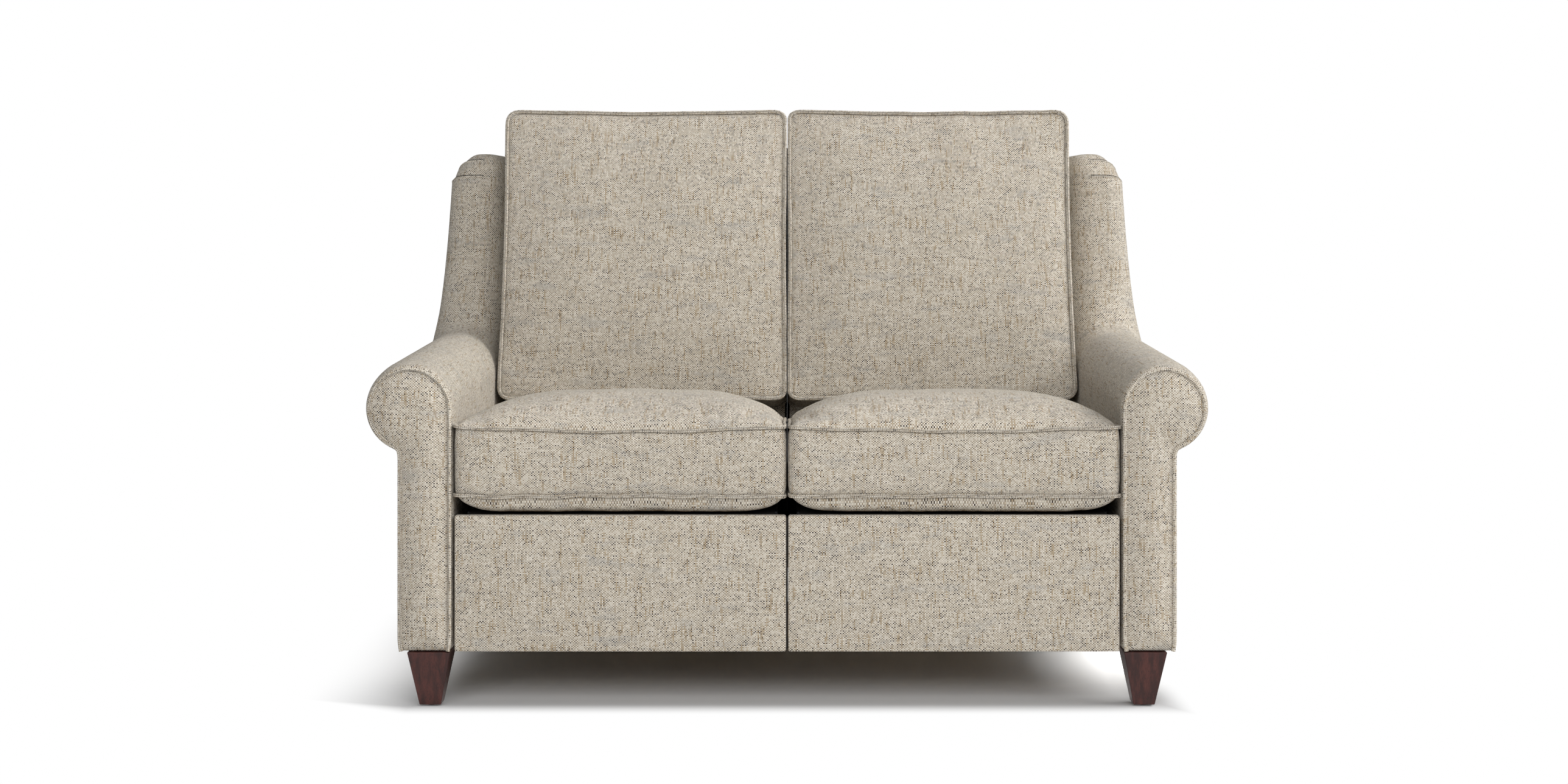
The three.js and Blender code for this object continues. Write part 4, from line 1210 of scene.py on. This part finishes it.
# %% Outside backs
outside_low, back_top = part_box("outside_back_right")
back_lean = math.atan(back_slope)
board_length, back_thickness = 0.694, 0.024
inset, corner_round = 0.0034, 0.012


def leaned(points):
    """From upright, its rear top edge on the line y = 0, z = 0, to leaning in place."""
    x, y, z = np.asarray(points).T
    c, s = math.cos(back_lean), math.sin(back_lean)
    return np.column_stack([x, back_top.y + y * c + z * s, back_top.z - y * s + z * c])


inner, outer = outside_low.x + inset, back_top.x - inset
bend = np.linspace(0.2, 1.37, 5)
climb = np.linspace(0.003 - board_length, -inset - corner_round, 60)
path = [(inner, z) for z in climb]
path += [(inner + corner_round * (1 - math.cos(a)), corner_round * (math.sin(a) - 1) - inset) for a in bend]
path += [(x, -inset) for x in np.linspace(inner + corner_round, outer - corner_round, 50)]
path += [(outer + corner_round * (math.sin(a) - 1), corner_round * (math.cos(a) - 1) - inset) for a in bend]
path += [(outer, z) for z in climb[::-1]]
seam = leaned([(x, -0.0030, z) for x, z in path])
for seed, side in enumerate(sides, 61):
    upright = ((outside_low.x, -back_thickness, -board_length), (back_top.x, -0.0015, 0.0))
    points, faces, cloth = padded_board(*upright, 0.005, {"+y": 0.005}, step=0.02, seed=seed)
    cover = shaped(f"outside_back_cover_{side}", *on_side(side, leaned(points), faces, cloth))
    dressed(cover, oatmeal, f"back_{side}", f"outside_back_{side}", fill=0.7)
    welt(f"outside_back_welt_{side}", f"back_{side}", [on_side(side, seam)], radius=0.0032, seed=65)

# %% [markdown]
# Between the cushion and the outside back the wooden back frame is wrapped
# in padding and cloth, which shows from above and from the side when a back
# reclines. The wrap is a padded board too, bent to the frame: its front
# follows the rake of the cushion and its rear follows the outside back.

# %% The wrapped back frame
def wrap_front(height):
    return hinge.y + (height - hinge.z) * math.tan(back_rake) - 0.0047 / math.cos(back_rake) - 0.00012


wrap_top, wrap_depth = back_top.z + 0.0012, 0.15
low, high = (outside_low.x + 0.0015, 0.0, 0.400), (back_top.x - 0.0015, wrap_depth, wrap_top)
for side in sides:
    points, faces, cloth = padded_board(low, high, 0.006, {"+z": 0.003}, step=0.03, seed=71)
    share = points[:, 1] / wrap_depth
    wrap_rear = front_plane + 0.900 + (points[:, 2] - hinge.z) * back_slope - 0.02418
    points[:, 1] = wrap_front(points[:, 2]) * (1 - share) + wrap_rear * share
    wrap = shaped(f"back_frame_wrap_{side}", *on_side(side, points, faces, cloth))
    dressed(wrap, oatmeal, f"back_{side}", fill=0.6)

# %% [markdown]
# In use the two halves move past each other, so the slots between them stay
# open. Dark strips stand in the slots, between the two seat frames and under
# the outside backs, to keep the light out. They are painted shade: dark sheets
# where the slots would only be dark with shade. Each strip keeps to its own
# side of the middle, and the two strips of a slot stand one behind the other.

# %% Strips that darken the slots
clear, seat_under, forward = 0.00004, seat_low.z + 0.022, np.array((0.0, front_plane, 0.0))
for side, behind in (("left", 0.0), ("right", 0.05)):
    back, seat = f"back_{side}", f"seat_{side}"
    strip = shade_strip(f"back_shade_strip_{side}", (clear, 0.30, 0.42), (0.0048, 0.34, wrap_top - 0.012), side, back)
    points = points_of(strip.data)
    points[:, 1] += wrap_front(points[:, 2]) - 0.28 + behind
    put_points(strip, points)
    for name, near, far, body in (
        ("seat_shade_strip", (clear, 0.10 + behind, seat_under), (0.0045, 0.14 + behind, seat_under + 0.12), seat),
        ("under_shade_strip", (clear, 0.28 + behind, 0.240), (0.0176, 0.284 + behind, 0.336), seat),
        ("rear_shade_strip", (clear, 0.884, 0.297), (back_top.x - 0.002, 0.888, 0.341), back),
    ):
        shade_strip(f"{name}_{side}", near + forward, far + forward, side, body)

# %% [markdown]
# Each leg is a square peg of hardwood that tapers on all four sides, with
# its edges eased by sandpaper. Under it sits a small moulded glide. The leg
# keeps the solid's eight corners and gets a narrow bevel. The glide is
# turned from a short profile, so that its rim is round.

# %% Legs
def tapered_leg(name, node):
    low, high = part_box(node)
    x, y, top_half = (low.x + high.x) / 2, (low.y + high.y) / 2, (high.x - low.x) / 2
    points = [
        (x + sx * half, y + sy * half, z)
        for half, z in ((top_half / 2, low.z), (top_half, high.z))
        for sx, sy in ((-1, -1), (1, -1), (1, 1), (-1, 1))
    ]
    faces = [(3, 2, 1, 0), (4, 5, 6, 7)] + [(k, (k + 1) % 4, (k + 1) % 4 + 4, k + 4) for k in range(4)]
    leg = shaped(name, points, faces, smooth=False)
    eased = leg.modifiers.new("Eased edges", "BEVEL")
    eased.width, eased.segments = 0.0016, 3
    eased.use_clamp_overlap = True
    return settled(leg)


def turned_glide(name, node, count=32):
    low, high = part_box(node)
    middle, radius, height = (low + high) / 2, (high.x - low.x) / 2, high.z - low.z
    profile = [(-0.0009, 0.0), (-0.0003, 0.0003), (0.0, 0.0009), (0.0, height - 0.0006), (-0.0006, height)]
    turns = [2 * math.pi * k / count for k in range(count)]
    rings = [(radius + r, low.z + z, a) for r, z in profile for a in turns]
    points = [(middle.x + r * math.cos(a), middle.y + r * math.sin(a), z) for r, z, a in rings]
    last = count * (len(profile) - 1)
    faces = [tuple(range(count))[::-1], tuple(range(last, last + count))]
    for k in range(last):
        ahead = k + 1 if (k + 1) % count else k + 1 - count
        faces.append((k, ahead, ahead + count, k + count))
    return shaped(name, points, faces)


for side in sides:
    for end in (f"front_{side}", f"rear_{side}"):
        leg, glide = f"leg_{end}", f"glide_{end}"
        dressed(tapered_leg("wooden_" + leg, leg), stained_leg, "root", leg, slot="leg_wood")
        dressed(turned_glide("turned_" + glide, glide), black_plastic, "root", glide, slot="glide_plastic")

# %% [markdown]
# Under each seat three zigzag springs of drawn wire run from the front rail
# to the rear rail. The solids hold them as square wire. Here the same cord
# tree that made the welts runs a round wire along the same zigzag, with its
# sway turned off.

# %% Zigzag springs
spring_low, spring_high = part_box("seat_spring_1_right")
wire, waves = spring_high.z - spring_low.z, 5


def zigzag(node):
    low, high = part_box(node)
    middle, swing = (low.x + high.x) / 2, (high.x - low.x - wire) / 2
    shares = np.linspace(0, 1, 60 * waves + 1)
    across = np.tanh(2.4 * np.sin(2 * math.pi * waves * shares)) / math.tanh(2.4)
    depth = low.y + wire / 2 + (high.y - low.y - wire) * shares
    return [(middle + swing * a, d, (low.z + high.z) / 2) for a, d in zip(across, depth)]


for side in sides:
    nodes = [f"seat_spring_{k}_{side}" for k in (1, 2, 3)]
    run = {"radius": wire / 2, "step": 0.006, "sway": 0.0, "sides": 8, "finish": bright_wire}
    springs = cords(f"seat_springs_{side}", [zigzag(node) for node in nodes], **run)
    dressed(springs, None, f"seat_{side}", *nodes, slot="spring_steel")

# %% [markdown]
# The pins that the backs and the footrest links turn on are headed over like
# rivets. The heads are too small for the solids. A Geometry Nodes tree sets
# one low dome on each point that it is given, so every body gets its rivets
# in one mesh.

# %% A tree that sets rivet heads on points
rivet_tree, given, result = growing_tree("Rivet heads", {"Radius": 0.0068, "Rise": 0.0014})
dome = add_node(rivet_tree, "GeometryNodeMeshUVSphere", {"Segments": 20, "Rings": 10, "Radius": 1.0})
size = joined(rivet_tree, given["Rise"], given["Radius"], given["Radius"])
dome = add_node(rivet_tree, "GeometryNodeTransform", {"Geometry": dome, "Scale": size})
dome = add_node(rivet_tree, "GeometryNodeSetShadeSmooth", {0: dome})
spots = add_node(rivet_tree, "GeometryNodeMeshToPoints", {0: given["Geometry"]})
heads = add_node(rivet_tree, "GeometryNodeInstanceOnPoints", {"Points": spots, "Instance": dome})
end_tree(rivet_tree, heads, given, result)

pivots = ((0.080, 0.300), (0.080, 0.115), (0.055, 0.290))
foot_pivot, knee, anchor = ((front_plane + depth, z) for depth, z in pivots)
rivet_places = {
    "seat": [(x, *place) for x in (0.018, 0.572) for place in (foot_pivot, (hinge.y, hinge.z))],
    "footrest_arms": [(x, *knee) for x in (0.0348, 0.5552)],
    "footrest_panel": [(x, *anchor) for x in (0.0392, 0.5508)],
}
for side in sides:
    for body, places in rivet_places.items():
        heads = grown(f"{body}_rivets_{side}", rivet_tree, on_side(side, places), [], finish=dark_steel)
        dressed(heads, None, f"{body}_{side}", slot="mechanism_steel")

# %% [markdown]
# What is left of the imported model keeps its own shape: rails, boards, plates,
# links and tracks. Each of these nodes gets a finish from the groups above,
# set on its object's material slots.

# %% Finishes for the solids that stay
kept_finishes = {
    rail_wood: ("front_stretcher", "rear_rail", "footrest_board"),
    board_wood: ("side_frame", "back_frame"),
    lined_wood: ("seat_frame",),
    dark_steel: ("footrest_spreader", "footrest_arm", "footrest_link", "side_plate", "track"),
}
finished = 0
for finish, starts in kept_finishes.items():
    for name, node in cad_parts.items():
        if name.startswith(starts):
            for slot in node.material_slots:
                slot.material = finish
            finished += 1
print("solids finished:", finished, "of", len(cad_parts))

# %% [markdown]
# The studio is a plain pale floor under five large soft lights. The key
# stands in front and a little to the right, two more stand far out to the
# right and shape the rolls and the wings, a fill to the left opens the shade,
# and a faint one hangs above.
# None of them colours the cloth. The camera stands straight in front, a
# little below eye height, far enough back that the arms don't flare. Light
# Path makes the far floor and the world white for the camera only, so the
# white around the settee adds no light to it. Near the settee that white is
# also painted light: it comes in close at the sides and the front and cuts
# the settee's cast shadow short there. The floor keeps its soft shadow
# underneath, but for the camera its tone is painted too. It is darker near
# the front edge, a painted shadow, and brighter further under, painted light.

# %% Camera
camera = linked("camera", bpy.data.cameras.new("camera"))
camera.data.lens, camera.data.sensor_width = 48.98, 36.0
camera.data.shift_x, camera.data.shift_y = -0.002, -0.120
camera.data.clip_start, camera.data.clip_end = 0.1, 60.0
camera.location = (0.0, front_plane - 3.75, 0.89)
camera.rotation_euler = (math.radians(90.0), 0.0, 0.0)
bpy.context.scene.camera = camera
bpy.context.scene.view_settings.view_transform = "Standard"
print("camera", tuple(round(v, 3) for v in camera.location), "lens", camera.data.lens)

# %% Floor
reach = 30.0
corners = [(-reach, -reach, 0), (reach, -reach, 0), (reach, reach, 0), (-reach, reach, 0)]
floor = shaped("floor", corners, [(0, 1, 2, 3)], smooth=False)


def seen_by_camera(tree):
    """1 for rays that the camera sees straight, in a reflection or through glass."""
    path = add_node(tree, "ShaderNodeLightPath").outputs
    seen = sums(tree, "MAXIMUM", path["Is Camera Ray"], path["Is Glossy Ray"])
    return sums(tree, "MAXIMUM", seen, path["Is Transmission Ray"])


floor_finish = bpy.data.materials.new("Pale floor with painted shade")
floor_finish.use_nodes = True
tree = floor_finish.node_tree
floor_shader = tree.nodes["Principled BSDF"]
floor_shader.inputs["Roughness"].default_value = 0.9
floor_shader.inputs["Specular IOR Level"].default_value = 0.1
place = {0: add_node(tree, "ShaderNodeTexCoord").outputs["Object"]}
place = add_node(tree, "ShaderNodeSeparateXYZ", place).outputs
# Painted shade and light: for the camera the floor is darker near the front edge, deepening the shadow there, and
# brighter further under, lightening it
under = step_up(tree, place[1], -0.42, -0.05)
painted_shadow_tone = blended(tree, under, (0.54, 0.54, 0.54, 1.0), (1.9, 1.9, 1.9, 1.0))
straight = add_node(tree, "ShaderNodeLightPath").outputs["Is Camera Ray"]
feed(tree, floor_shader.inputs["Base Color"], blended(tree, straight, (0.8, 0.8, 0.8, 1.0), painted_shadow_tone))
# Painted light: near the settee the camera's white comes in close at the right side and the front, and on the left
# it reaches further under at a slant, cutting the cast shadow short
leftward = sums(tree, "MULTIPLY", place[0], -1.0)
beside = sums(tree, "MAXIMUM", step_up(tree, leftward, 0.58, 0.88), step_up(tree, place[0], 0.66, 0.72))
shadow_cut_slant = sums(tree, "MULTIPLY", sums(tree, "SUBTRACT", leftward, 0.67, clamp=True), 0.6)
before = step_up(tree, sums(tree, "ADD", sums(tree, "ABSOLUTE", place[1]), shadow_cut_slant), 0.43, 0.52)
backdrop_white_and_shadow_cut = sums(tree, "MULTIPLY", seen_by_camera(tree), sums(tree, "MAXIMUM", beside, before))
glow = add_node(tree, "ShaderNodeEmission", {"Color": (1.0, 1.0, 1.0, 1.0)})
floor_mix = add_node(tree, "ShaderNodeMixShader", {0: backdrop_white_and_shadow_cut, 1: floor_shader, 2: glow})
feed(tree, tree.nodes["Material Output"].inputs["Surface"], floor_mix)
floor.data.materials.append(floor_finish)
print("floor", reach * 2, "m wide")

# %% World and lights
world = bpy.data.worlds.new("studio")
bpy.context.scene.world = world
world.use_nodes = True
tree = world.node_tree
tree.nodes.clear()
strength = sums(tree, "MULTIPLY_ADD", seen_by_camera(tree), 0.96, 0.04)
sky = add_node(tree, "ShaderNodeBackground", {"Color": (1.0, 1.0, 1.0, 1.0), "Strength": strength})
add_node(tree, "ShaderNodeOutputWorld", {"Surface": sky})

for name, spot, size, watts in (
    ("key", (1.46, -5.44, 3.7), 3.0, 174.0),
    ("slant", (10.4, -5.5, 5.9), 4.8, 438.0),
    ("side", (10.6, 0.4, 7.9), 6.0, 1240.0),
    ("fill", (-1.5, -5.2, 3.0), 3.0, 105.0),
    ("top", (0.2, -1.1, 4.8), 3.0, 22.0),
):
    light = linked(name, bpy.data.lights.new(name, "AREA"))
    light.data.shape, light.data.energy = "RECTANGLE", watts
    light.data.size = light.data.size_y = size
    light.location = spot
    light.rotation_euler = (Vector((0.0, 0.0, 0.45)) - Vector(spot)).to_track_quat("-Z", "Y").to_euler()
    print("light", name, watts, "W")
